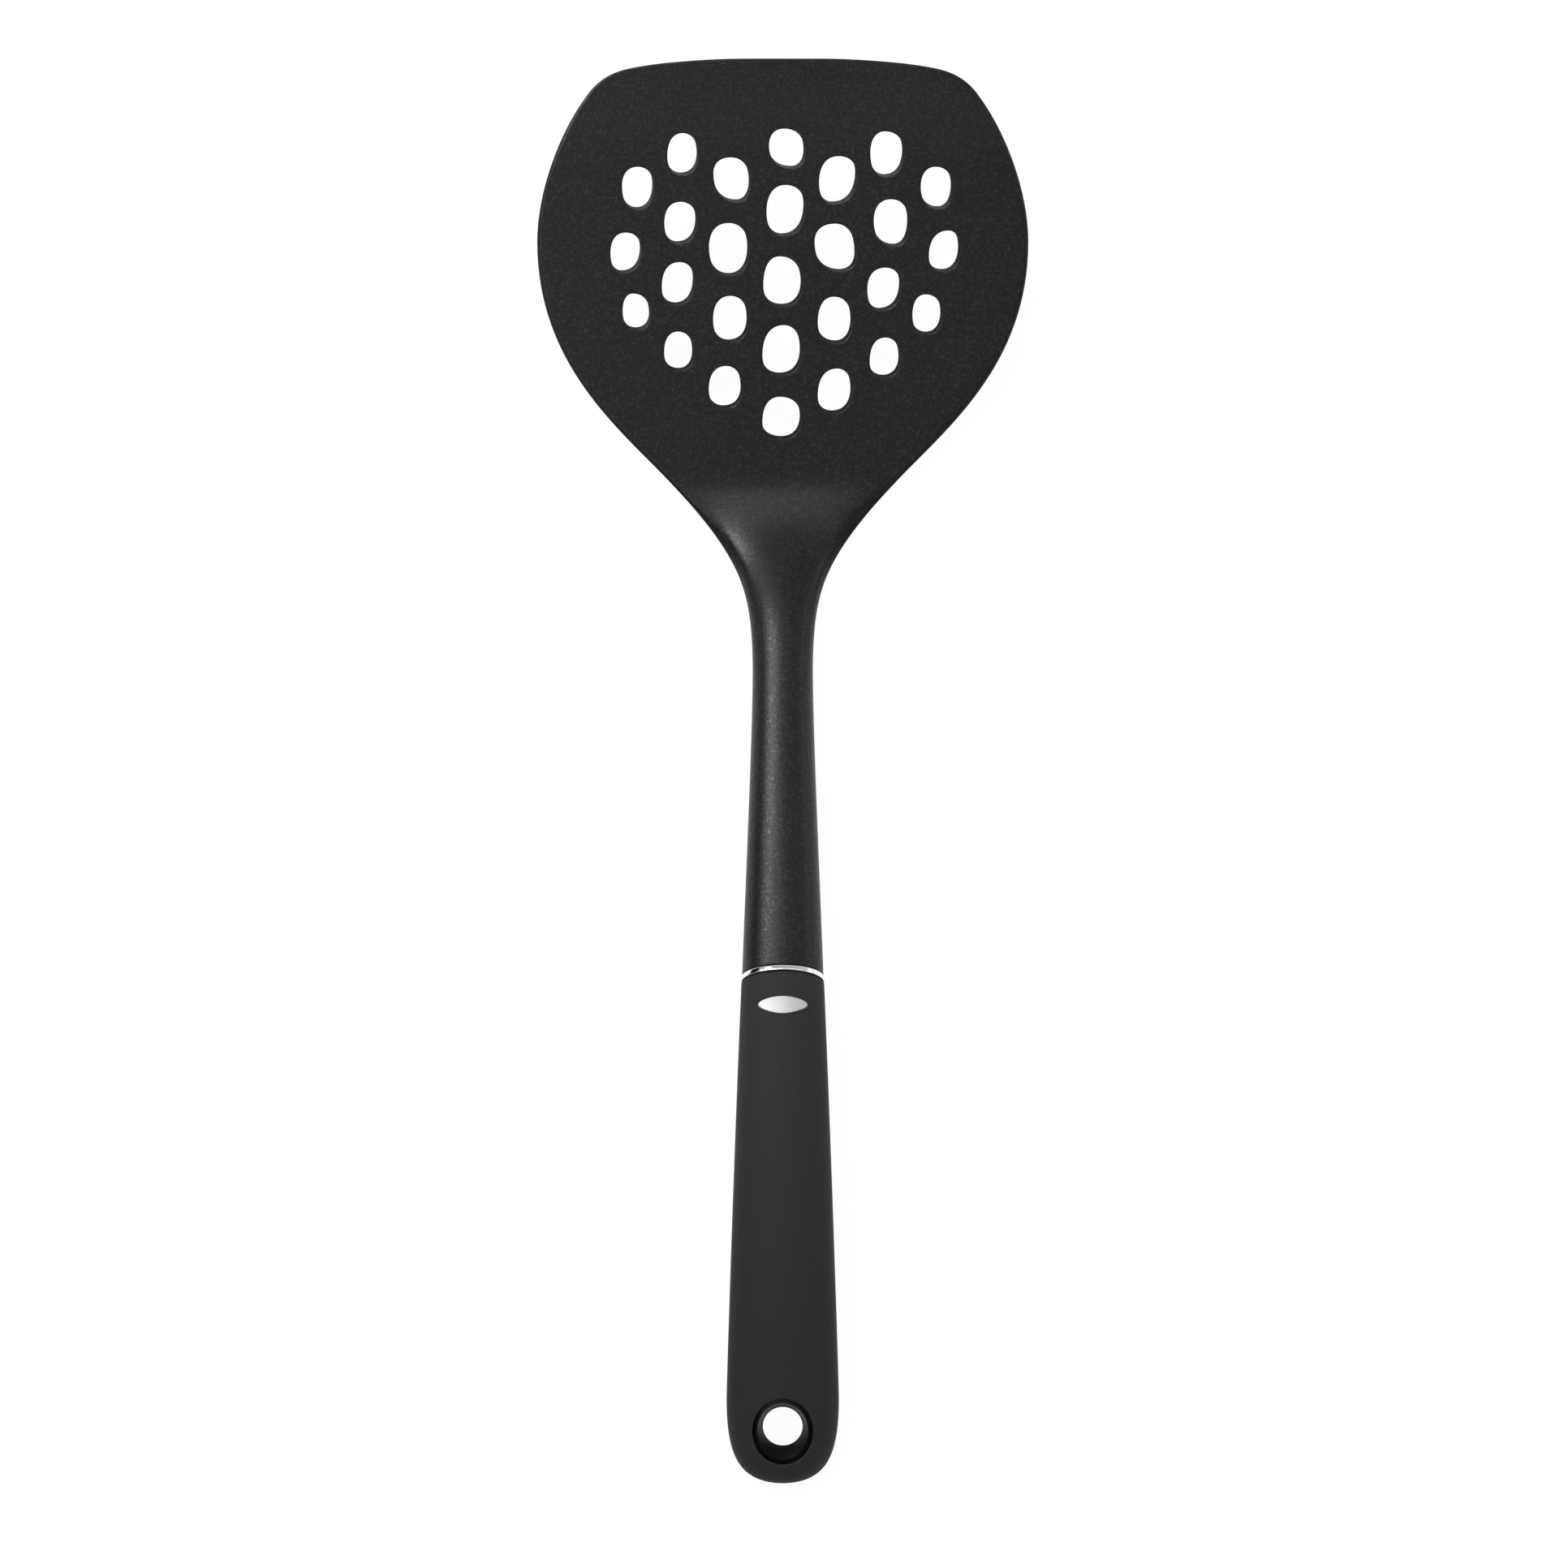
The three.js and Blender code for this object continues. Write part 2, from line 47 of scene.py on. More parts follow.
# drawn in mm in the blade's own frame: heel at 0, y to the front edge, z up from the underside
seat = next(m for m in frame["record"]["mounts"] if m["name"] == "blade_underside")
seatForward = 88  # heel to the mount's point
tilt = math.atan2(seat["axis"][1], -seat["axis"][2])
turned = Matrix.Rotation(tilt, 4, "X")
bladeFrame = (Matrix.Translation(seat["pos_m"]) @ turned @ Matrix.Scale(0.001, 4)
              @ Matrix.Translation((0, -seatForward, 0)))

photoView = {"across": 0.285, "along": -71.44, "distance": 2000, "lens": 196.1, "clipEnd": 50}
camera = bpy.data.objects.new("photoCamera", bpy.data.cameras.new("photoCamera"))
camera.data.lens = photoView["lens"]
camera.data.clip_end = photoView["clipEnd"]
eye = Vector((photoView["across"], photoView["along"], photoView["distance"]))
camera.matrix_world = Matrix.Translation(bladeFrame @ eye) @ turned
scene.collection.objects.link(camera)
scene.camera = camera
print("camera placed, tilt", round(math.degrees(tilt), 2))


def lerp(a, b, share):
    return a + (b - a) * share


def clamp(value):
    return min(max(value, 0), 1)


def ease(value, low, high):
    share = clamp((value - low) / (high - low))
    return share * share * (3 - 2 * share)


def bezier(a, b, c, d, t):
    u = 1 - t
    return (Vector(a) * u ** 3 + Vector(b) * (3 * u * u * t)
            + Vector(c) * (3 * u * t * t) + Vector(d) * t ** 3)


def lastWhere(test, low, high, rounds):  # the last share at which a test still holds
    for _ in range(rounds):
        middle = (low + high) / 2
        low, high = (middle, high) if test(middle) else (low, middle)
    return (low + high) / 2


def quarterRound(radius, steps, first=0):  # pairs that run from (radius, 0) to (0, radius)
    angles = [math.pi / 2 * n / steps for n in range(first, steps + 1)]
    return [(radius * (1 - math.sin(a)), radius * (1 - math.cos(a))) for a in angles]


# centre line of the handle, by distance back from the heel
line = {
    "bendLength": 27, "bendAngle": 39,  # the curl behind the blade
    "neckLength": 51.7, "stemLength": 127.9, "stemAngle": 24,
    "gripStart": 129.6, "gripLength": 116, "tailAngle": -8, "arch": 1.8,
    "step": 0.1, "overrun": 1,  # the stops go on a little past the tail
}
sectionPower = 2  # an ellipse
edgeShare = 16  # one point in this many goes to each quarter of a plate's rounded edge


def heading(back):
    if back <= 0:
        return 0
    if back < line["bendLength"]:
        return line["bendAngle"] * ease(back, 0, line["bendLength"])
    if back < line["gripStart"]:
        share = ease(back, line["bendLength"], line["neckLength"])
        return lerp(line["bendAngle"], line["stemAngle"], share)
    share = (back - line["gripStart"]) / line["gripLength"]
    return lerp(line["stemAngle"], line["tailAngle"], share ** line["arch"])


lineStops = [Vector((0, 0))]
for i in range(round((line["gripStart"] + line["gripLength"] + line["overrun"]) / line["step"])):
    angle = math.radians(heading((i + 0.5) * line["step"]))
    lineStops.append(lineStops[-1] + line["step"] * Vector((-math.cos(angle), math.sin(angle))))


def onLine(back, x, up):
    angle = math.radians(heading(back))
    if back <= 0:
        return Vector((x, -back, up))
    whole = min(int(back / line["step"]), len(lineStops) - 2)
    spot = lineStops[whole].lerp(lineStops[whole + 1], back / line["step"] - whole)
    return Vector((x, spot.x + up * math.sin(angle), spot.y + up * math.cos(angle)))


def plateSection(half, thickness, count):
    quarter, edgeSteps = count // 4, count // edgeShare
    radius = thickness / 2
    points = []
    for i in range(count):
        step = quarter - abs(i % (2 * quarter) - quarter)
        angle = min(step / edgeSteps, 1) * math.pi / 2
        inner = (quarter - step) / (quarter - edgeSteps)
        x = half - radius * (1 - math.cos(angle)) if step < edgeSteps else (half - radius) * inner
        right = i <= quarter or i > 3 * quarter
        rise = radius * math.sin(angle) * (1 if i < 2 * quarter else -1)
        points.append((x if right else -x, radius + rise))
    return points


def barPoint(half, crest, keel, angle, power=sectionPower):
    across, up = math.cos(angle), math.sin(angle)
    x = math.copysign(half * abs(across) ** (2 / power), across)
    return x, (crest if up > 0 else -keel) * abs(up) ** (2 / power)


def barSection(half, crest, keel, count, power=sectionPower):
    return [barPoint(half, crest, keel, math.tau * i / count, power) for i in range(count)]


def addRing(bm, section, back):
    return [bm.verts.new(onLine(back, x, up)) for x, up in section]


def bridge(bm, first, second):
    for i in range(len(first)):
        bm.faces.new((first[i - 1], first[i], second[i], second[i - 1]))


def bridgeAll(bm, rings):
    for first, second in zip(rings, rings[1:]):
        bridge(bm, first, second)


def closeEnd(bm, ring, tip=None):
    middle = bm.verts.new(tip or sum((v.co for v in ring), Vector()) / len(ring))
    for i in range(len(ring)):
        bm.faces.new((ring[i - 1], ring[i], middle))


def insideLoop(point, loop):
    crossings = 0
    for a, b in zip(loop, loop[1:] + loop[:1]):
        if (a.y > point.y) != (b.y > point.y):
            crossings += point.x < lerp(a.x, b.x, (point.y - a.y) / (b.y - a.y))
    return crossings % 2 == 1


def offsetLoop(loop, distance):  # outwards where the loop turns anticlockwise
    moved = []
    for i, point in enumerate(loop):
        along = (loop[(i + 1) % len(loop)] - loop[i - 1]).normalized()
        moved.append(point + distance * Vector((along.y, -along.x)))
    return moved


def fillFlat(points, loops):  # triangles between an outer loop and the holes in it, as indices
    edges = [(loop[i - 1], loop[i]) for loop in loops for i in range(len(loop))]
    holeOf = {i: n for n, loop in enumerate(loops) if n for i in loop}
    filled = delaunay_2d_cdt(points, edges, [], 1, 1e-7)
    faces = [[filled[3][v][0] for v in face] for face in filled[2]]
    return [f for f in faces if f[0] not in holeOf or len({holeOf.get(i) for i in f}) > 1]


meshing = {"weld": 0.0008, "sharpAngle": 38, "faceWeight": 100}


def makePiece(name, bm, material, node):
    bmesh.ops.remove_doubles(bm, verts=bm.verts, dist=meshing["weld"])
    bm.transform(bladeFrame)
    bmesh.ops.recalc_face_normals(bm, faces=bm.faces)
    openEdges = sum(len(e.link_faces) != 2 for e in bm.edges)
    mesh = bpy.data.meshes.new(name)
    bm.to_mesh(mesh)
    bm.free()
    mesh.shade_smooth()
    mesh.set_sharp_from_angle(angle=math.radians(meshing["sharpAngle"]))
    piece = bpy.data.objects.new(name, mesh)
    scene.collection.objects.link(piece)
    piece.data.materials.append(material)
    even = piece.modifiers.new("evenShading", "WEIGHTED_NORMAL")
    even.weight = meshing["faceWeight"]
    even.keep_sharp = True
    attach(piece, "root")
    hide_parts(node)
    print(name, "faces", len(mesh.polygons), "open edges", openEdges)


def newGroup(name, inputs, outputs):
    group = bpy.data.node_groups.new(name, "ShaderNodeTree")
    for socket, value in inputs.items():
        made = group.interface.new_socket(socket, in_out="INPUT", socket_type="NodeSocketFloat")
        made.default_value = value
    for socket in outputs:
        group.interface.new_socket(socket, in_out="OUTPUT", socket_type="NodeSocketFloat")
    nodes = group.nodes
    return group, nodes.new("NodeGroupInput"), nodes.new("NodeGroupOutput")


def link(tree, fromSocket, toSocket):
    tree.links.new(fromSocket, toSocket)


def mathNode(tree, operation, first, second=None, clampIt=False):
    node = tree.nodes.new("ShaderNodeMath")
    node.operation = operation
    node.use_clamp = clampIt
    for socket, value in zip(node.inputs, (first, second)):
        if value is None:
            continue
        if isinstance(value, (int, float)):
            socket.default_value = value
        else:
            link(tree, value, socket)
    return node.outputs[0]


def noiseNode(tree, scale, detail, roughness=0.5):
    node = tree.nodes.new("ShaderNodeTexNoise")
    node.inputs["Detail"].default_value = detail
    node.inputs["Roughness"].default_value = roughness
    coords = tree.nodes.new("ShaderNodeTexCoord")
    link(tree, coords.outputs["Object"], node.inputs["Vector"])
    if isinstance(scale, (int, float)):
        node.inputs["Scale"].default_value = scale
    else:
        link(tree, scale, node.inputs["Scale"])
    return node.outputs["Fac"]


# mould grain: fine pebbles, with crests that glint and a slow drift of the gloss
mouldPattern = {
    "fineDetail": 2, "fineRough": 0.6, "coarseShare": 0.31, "coarseDetail": 1, "coarseHeight": 0.5,
    "crestFrom": 0.5, "crestSlope": 3.5, "driftScale": 35, "driftDetail": 2, "driftRange": (0.3, 0.7),
}
# plating: faint haze and hairlines in the gloss
platingPattern = {"hazeScale": 900, "hazeDetail": 3, "hairScale": 4000, "hairDetail": 2, "hairDepth": 0.00001}


def makeMouldGrain():
    pattern = mouldPattern
    group, given, out = newGroup("mouldGrain", {"Size mm": 0.3}, ("Height", "Glint", "Patch"))
    scale = mathNode(group, "DIVIDE", 1000, given.outputs["Size mm"])  # the noise counts per metre
    fine = noiseNode(group, scale, pattern["fineDetail"], pattern["fineRough"])
    coarseScale = mathNode(group, "MULTIPLY", scale, pattern["coarseShare"])
    coarse = noiseNode(group, coarseScale, pattern["coarseDetail"])
    height = mathNode(group, "ADD", fine, mathNode(group, "MULTIPLY", coarse, pattern["coarseHeight"]))
    link(group, height, out.inputs["Height"])
    crest = mathNode(group, "SUBTRACT", fine, pattern["crestFrom"])
    link(group, mathNode(group, "MULTIPLY", crest, pattern["crestSlope"], True), out.inputs["Glint"])
    link(group, noiseNode(group, pattern["driftScale"], pattern["driftDetail"]), out.inputs["Patch"])
    return group


def makePlatingHaze():
    pattern = platingPattern
    group, given, out = newGroup("platingHaze", {"Base": 0.06, "Spread": 0.04}, ("Roughness", "Height"))
    haze = noiseNode(group, pattern["hazeScale"], pattern["hazeDetail"])
    spread = mathNode(group, "MULTIPLY", haze, given.outputs["Spread"])
    link(group, mathNode(group, "ADD", given.outputs["Base"], spread), out.inputs["Roughness"])
    link(group, noiseNode(group, pattern["hairScale"], pattern["hairDetail"]), out.inputs["Height"])
    return group


mouldGrain = makeMouldGrain()
platingHaze = makePlatingHaze()


def newMaterial(name):
    material = bpy.data.materials.new(name)
    material.use_nodes = True
    tree = material.node_tree
    return material, tree, tree.nodes["Principled BSDF"]


def placeGroup(tree, group, values):
    node = tree.nodes.new("ShaderNodeGroup")
    node.node_tree = group
    for socket, value in values.items():
        node.inputs[socket].default_value = value
    return node


def addBump(tree, height, distance, strength, shader):
    bump = tree.nodes.new("ShaderNodeBump")
    bump.inputs["Strength"].default_value = strength
    bump.inputs["Distance"].default_value = distance
    link(tree, height, bump.inputs["Height"])
    link(tree, bump.outputs["Normal"], shader.inputs["Normal"])


def mixColour(tree, share, first, second, socket):
    mix = tree.nodes.new("ShaderNodeMix")
    mix.data_type = "RGBA"
    mix.inputs["A"].default_value = (*first, 1)
    mix.inputs["B"].default_value = (*second, 1)
    link(tree, share, mix.inputs["Factor"])
    link(tree, mix.outputs["Result"], socket)


def mapRange(tree, value, low, high, toLow, toHigh):
    node = tree.nodes.new("ShaderNodeMapRange")
    for socket, number in zip(node.inputs[1:5], (low, high, toLow, toHigh)):
        socket.default_value = number
    link(tree, value, node.inputs["Value"])
    return node.outputs["Result"]


plasticSurface = {"sheenRough": 0.3, "specularTint": (0.96, 0.95, 1)}


def mouldedPlastic(name, finish):
    material, tree, shader = newMaterial(name)
    grain = placeGroup(tree, mouldGrain, {"Size mm": finish["grainSize"]})
    mixColour(tree, grain.outputs["Glint"], finish["colour"], finish["crestColour"],
              shader.inputs["Base Color"])
    rough = mapRange(tree, grain.outputs["Patch"], *mouldPattern["driftRange"], *finish["gloss"])
    drop = mathNode(tree, "MULTIPLY", grain.outputs["Glint"], finish["glint"])
    link(tree, mathNode(tree, "SUBTRACT", rough, drop), shader.inputs["Roughness"])
    shader.inputs["Specular IOR Level"].default_value = finish["shine"]
    shader.inputs["Sheen Weight"].default_value = finish["sheen"]
    shader.inputs["Sheen Roughness"].default_value = plasticSurface["sheenRough"]
    shader.inputs["Specular Tint"].default_value = (*plasticSurface["specularTint"], 1)
    addBump(tree, grain.outputs["Height"], finish["grainDepth"], finish["grainStrength"], shader)
    return material


def brightPlating(name, finish):
    material, tree, shader = newMaterial(name)
    haze = placeGroup(tree, platingHaze, {"Base": finish["rough"], "Spread": finish["haze"]})
    mixColour(tree, haze.outputs["Height"], finish["colour"], finish["paleColour"],
              shader.inputs["Base Color"])
    shader.inputs["Metallic"].default_value = 1
    link(tree, haze.outputs["Roughness"], shader.inputs["Roughness"])
    addBump(tree, haze.outputs["Height"], platingPattern["hairDepth"], finish["ripple"], shader)
    return material


nylonFinish = {
    "colour": (0.0040, 0.0040, 0.0048), "crestColour": (0.0222, 0.0223, 0.0260),
    "gloss": (0.38, 0.42), "glint": 0.16, "shine": 0.24, "sheen": 0,
    "grainSize": 0.7, "grainDepth": 0.00006, "grainStrength": 0.9,
}
coreFinish = {
    "colour": (0.005, 0.005, 0.0055), "crestColour": (0.014, 0.014, 0.015),
    "gloss": (0.36, 0.42), "glint": 0.08, "shine": 0.24, "sheen": 0,
    "grainSize": 0.3, "grainDepth": 0.00003, "grainStrength": 0.6,
}
skinFinish = {
    "colour": (0.0230, 0.0231, 0.0250), "crestColour": (0.0260, 0.0261, 0.0282),
    "gloss": (0.60, 0.68), "glint": 0.03, "shine": 0.10, "sheen": 0.1,
    "grainSize": 0.18, "grainDepth": 0.00002, "grainStrength": 0.35,
}
ringFinish = {
    "colour": (0.86, 0.87, 0.88), "paleColour": (0.90, 0.905, 0.91),
    "rough": 0.05, "haze": 0.04, "ripple": 0.1,
}
badgeFinish = {
    "colour": (0.49, 0.495, 0.505), "paleColour": (0.56, 0.565, 0.57),
    "rough": 0.5, "haze": 0.08, "ripple": 0.3,
}
nylon = mouldedPlastic("grainedNylon", nylonFinish)
corePlastic = mouldedPlastic("grainedCore", coreFinish)
softSkin = mouldedPlastic("softSkin", skinFinish)
brightRing = brightPlating("polishedPlating", ringFinish)
satinPlate = brightPlating("satinPlating", badgeFinish)
print("materials made")


# blade and stem, one nylon moulding: a drilled plate that curls up and rounds into an oval bar
blade = {
    "length": 98.4, "width": 115, "thickness": 2, "widestAt": 55.4,
    "frontFlat": 17, "frontThickness": 1, "frontTaper": 25, "frontBow": 2.35, "frontInset": 21.5,
    "cornerDrop": 9, "cornerInset": 11.4, "heelWidth": 54.4, "heelFlare": 0.95,
    "crownFrom": 2, "crownLength": 28, "crownEase": 6, "crownPowers": (2.5, 16), "swellFrom": 9,
    "stemWidth": 14, "stemCrest": 6, "stemKeel": 5.4,
    "endWidth": 18.6, "endCrest": 7.3, "endKeel": 6.7, "endRound": 0.3,
    "tangLength": 42, "tangWidth": 10.85, "tangDepth": 5, "tangTaper": 0.8, "tangPower": 4,
    "joinAt": 2, "joinBlend": 9, "sides": 96, "curveSteps": (12, 20, 20, 30),
    "heelRows": 4, "neckRows": 60, "stemRows": 40, "endSteps": 4, "tangSteps": 8,
    "gridStep": 3, "gridColumns": 20, "gridClear": 2, "holeMargin": 3,
    "holeRim": 0.35, "rimSteps": 5, "holeSteps": 11, "bulge": 0.63, "holeLean": (0.3, -0.75),
}
# handles of the outline's curves, as shares of the spans between its points
handles = {
    "front": (0.3, 0.77), "frontFall": 0.37, "cornerFirst": (0.5, 0.15), "cornerLast": (0.2, 0.46),
    "sideOut": 0.51, "sideDown": 0.23, "sideUp": 0.36, "belly": 0.485, "heel": 0.214,
    "neckFirst": 0.311, "neckLast": 0.5, "stemFirst": 0.2, "stemLast": (0.64, 0.66),
}
# drain holes: x, y, width, length and how far the front, right, back and left points lean
drainHoles = (
    (-34.1, 68.3, 7.0, 9.3, 0, -0.1, 0, -0.1),
    (-36.9, 53.2, 6.8, 8.7, 0, -0.15, -0.2, 0),
    (-34.4, 39.4, 6.1, 7.8, -0.25, 0.2, 0, -0.05),
    (-23.6, 76.3, 6.8, 9.1, 0, 0.05, -0.05, 0.1),
    (-24.1, 60.2, 7.2, 9.1, 0, -0.1, -0.15, 0),
    (-24.7, 46.0, 7.2, 9.3, 0.1, -0.15, -0.1, 0.15),
    (-24.5, 30.2, 6.5, 8.4, -0.05, 0.1, 0.05, 0.05),
    (-12.1, 70.3, 8.2, 9.7, -0.05, 0.15, 0.3, -0.3),
    (-12.8, 54.0, 8.9, 11.6, 0, 0, 0.05, -0.1),
    (-12.4, 37.7, 7.8, 10.1, 0, 0.05, -0.05, 0),
    (-13.6, 21.8, 7.4, 9.1, 0.05, 0.1, -0.05, 0.1),
    (0.8, 77.6, 8.0, 8.6, -0.15, 0.15, 0.3, -0.15),
    (0.5, 63.1, 8.6, 11.2, 0, -0.15, -0.15, 0.05),
    (-0.2, 46.5, 8.7, 11.0, -0.15, 0.1, 0, 0.15),
    (-0.4, 30.4, 8.7, 11.0, 0.1, 0.05, -0.05, 0.2),
    (-0.4, 14.6, 8.7, 9.1, -0.1, 0, 0.05, 0.2),
    (12.7, 70.2, 8.4, 10.5, 0.05, -0.25, -0.25, 0.1),
    (12.1, 54.4, 9.3, 10.5, 0, 0.3, 0.25, -0.25),
    (12.0, 37.5, 7.6, 10.1, -0.05, 0.05, 0.1, 0.1),
    (12.0, 20.9, 7.6, 9.7, 0.15, 0, -0.1, 0.2),
    (24.2, 76.3, 7.4, 9.9, -0.1, -0.1, -0.1, -0.05),
    (25.2, 60.2, 7.8, 10.3, 0, -0.05, 0.2, -0.1),
    (23.5, 44.7, 7.4, 9.3, 0.1, -0.2, -0.25, 0),
    (23.7, 28.7, 6.7, 8.6, 0.05, 0.05, -0.05, 0.2),
    (35.8, 68.4, 7.0, 9.1, -0.05, -0.05, 0.15, -0.05),
    (37.6, 53.6, 6.8, 8.9, 0.3, -0.1, -0.1, 0.25),
    (33.6, 38.8, 6.5, 8.6, -0.1, 0, 0, 0.05),
)


def bladeCurves():  # half outline as (half width, forward of the heel), front edge to stem end
    half, heel = blade["width"] / 2, blade["heelWidth"] / 2
    stem, stemEnd = blade["stemWidth"] / 2, blade["endWidth"] / 2
    length, neck, wide = blade["length"], line["neckLength"], blade["widestAt"]
    front = Vector((blade["frontFlat"] / 2, length))
    edge = Vector((half - blade["frontInset"], length - blade["frontBow"]))
    corner = Vector((half - blade["cornerInset"], length - blade["cornerDrop"]))
    turn, side = corner - edge, corner.y - wide
    heelReach, neckReach = handles["heel"] * wide, handles["neckFirst"] * neck
    flare = blade["heelFlare"]
    frontAcross = [lerp(front.x, edge.x, share) for share in handles["front"]]
    widening, stemLate = handles["stemLast"]

    def stemAlong(share):
        return -lerp(neck, line["stemLength"], share)

    return (
        (front, (frontAcross[0], length),
         (frontAcross[1], length - handles["frontFall"] * blade["frontBow"]), edge),
        (edge, edge + turn * Vector(handles["cornerFirst"]),
         corner - turn * Vector(handles["cornerLast"]), corner),
        (corner, corner + Vector((handles["sideOut"] * blade["cornerInset"], -handles["sideDown"] * side)),
         (half, wide + handles["sideUp"] * side), (half, wide)),
        ((half, wide), (half, handles["belly"] * wide), (heel + flare * heelReach, heelReach), (heel, 0)),
        ((heel, 0), (heel - flare * neckReach, -neckReach),
         (stem, -handles["neckLast"] * neck), (stem, -neck)),
        ((stem, -neck), (stem, stemAlong(handles["stemFirst"])),
         (lerp(stem, stemEnd, widening), stemAlong(stemLate)), (stemEnd, -line["stemLength"])),
    )


def plateThickness(y):
    thin = ease(y, blade["length"] - blade["frontTaper"], blade["length"])
    return lerp(blade["thickness"], blade["frontThickness"], thin)


def stemSection(half, along):
    plate = plateSection(half, plateThickness(along), blade["sides"])
    rise = clamp((blade["crownFrom"] - along) / blade["crownLength"])
    quickest = blade["crownEase"] / blade["crownLength"]
    crowned = rise ** 2 / quickest if rise < quickest else 1 - (1 - rise) ** 2 / (1 - quickest)
    swollen = ease(-along, blade["swellFrom"], line["neckLength"])
    grown = clamp((-along - line["neckLength"]) / (line["stemLength"] - line["neckLength"]))
    crest = lerp(blade["stemCrest"], blade["endCrest"], grown)
    bar = barSection(half, crest, lerp(blade["stemKeel"], blade["endKeel"], grown), blade["sides"])
    points = []
    for i, (p, b) in enumerate(zip(plate, bar)):
        height = (crest - plateThickness(along)) * crowned if 0 < i < blade["sides"] // 2 else 0
        aside = abs(p[0] / half)  # a slow fall to the sides, then a tight edge
        up = p[1] + height * (1 - sum(aside ** power for power in blade["crownPowers"]) / 2)
        points.append((lerp(p[0], b[0], swollen), lerp(up, b[1], swollen)))
    return points


def pebbleLoop(x, y, width, length, front, right, back, left):
    lean = blade["holeLean"]
    a, b, bulge = (width + abs(lean[0])) / 2, (length + abs(lean[1])) / 2, blade["bulge"]
    middle = Vector((x + lean[0] / 2, y + lean[1] / 2))
    spots = [Vector(p) for p in ((front * a, b), (-a, -left * b), (back * a, -b), (a, -right * b))]
    loop = []
    for i, spot in enumerate(spots):
        after = spots[(i + 1) % 4]
        sideways = Vector((lerp(spot.x, after.x, bulge), spot.y))
        upright = Vector((spot.x, lerp(spot.y, after.y, bulge)))
        toUpright = Vector((after.x, lerp(after.y, spot.y, bulge)))
        toSideways = Vector((lerp(after.x, spot.x, bulge), after.y))
        between = (sideways, toUpright) if i % 2 == 0 else (upright, toSideways)
        for n in range(blade["holeSteps"]):
            loop.append(middle + bezier(spot, *between, after, n / blade["holeSteps"]))
    return loop


def plateOutline(curves, cut):  # right join, front, left join
    half = [Vector((0, blade["length"])), Vector((blade["frontFlat"] / 4, blade["length"]))]
    for curve, steps, end in zip(curves, blade["curveSteps"], (1, 1, 1, cut)):
        half += [bezier(*curve, end * n / steps) for n in range(steps)]
    half.append(bezier(*curves[3], cut))
    half[-1].y = blade["joinAt"]
    return half[::-1] + [Vector((-p.x, p.y)) for p in half[1:]]


def edgeInward(outline):  # square to the outline, turning level where it joins the neck
    inward = []
    for i, p in enumerate(outline):
        along = outline[min(i + 1, len(outline) - 1)] - outline[max(i - 1, 0)]
        square = Vector((-along.y, along.x)).normalized()
        level = Vector((-math.copysign(1, p.x), 0))
        near = 1 - ease(p.y, blade["joinAt"], blade["joinAt"] + blade["joinBlend"])
        inward.append(square.lerp(level, near).normalized() if near > 0 else square)
    return inward


def gridSpots(points, border):  # even spots inside the border, clear of the holes and the points
    step, margin, columns = blade["gridStep"], blade["holeMargin"], blade["gridColumns"]
    spots = []
    for row in range(int(blade["length"] / step)):
        for column in range(-columns, columns + 1):
            spot = Vector(((column + row % 2 / 2) * step, blade["joinAt"] + (row + 0.5) * step))
            inHole = any(math.hypot((spot.x - x) / (w + margin), (spot.y - y) / (l + margin)) < 0.5
                         for x, y, w, l, *leans in drainHoles)
            if inHole or not insideLoop(spot, border):
                continue
            if min((spot - p).length_squared for p in points) > blade["gridClear"]:
                spots.append(spot)
    return spots


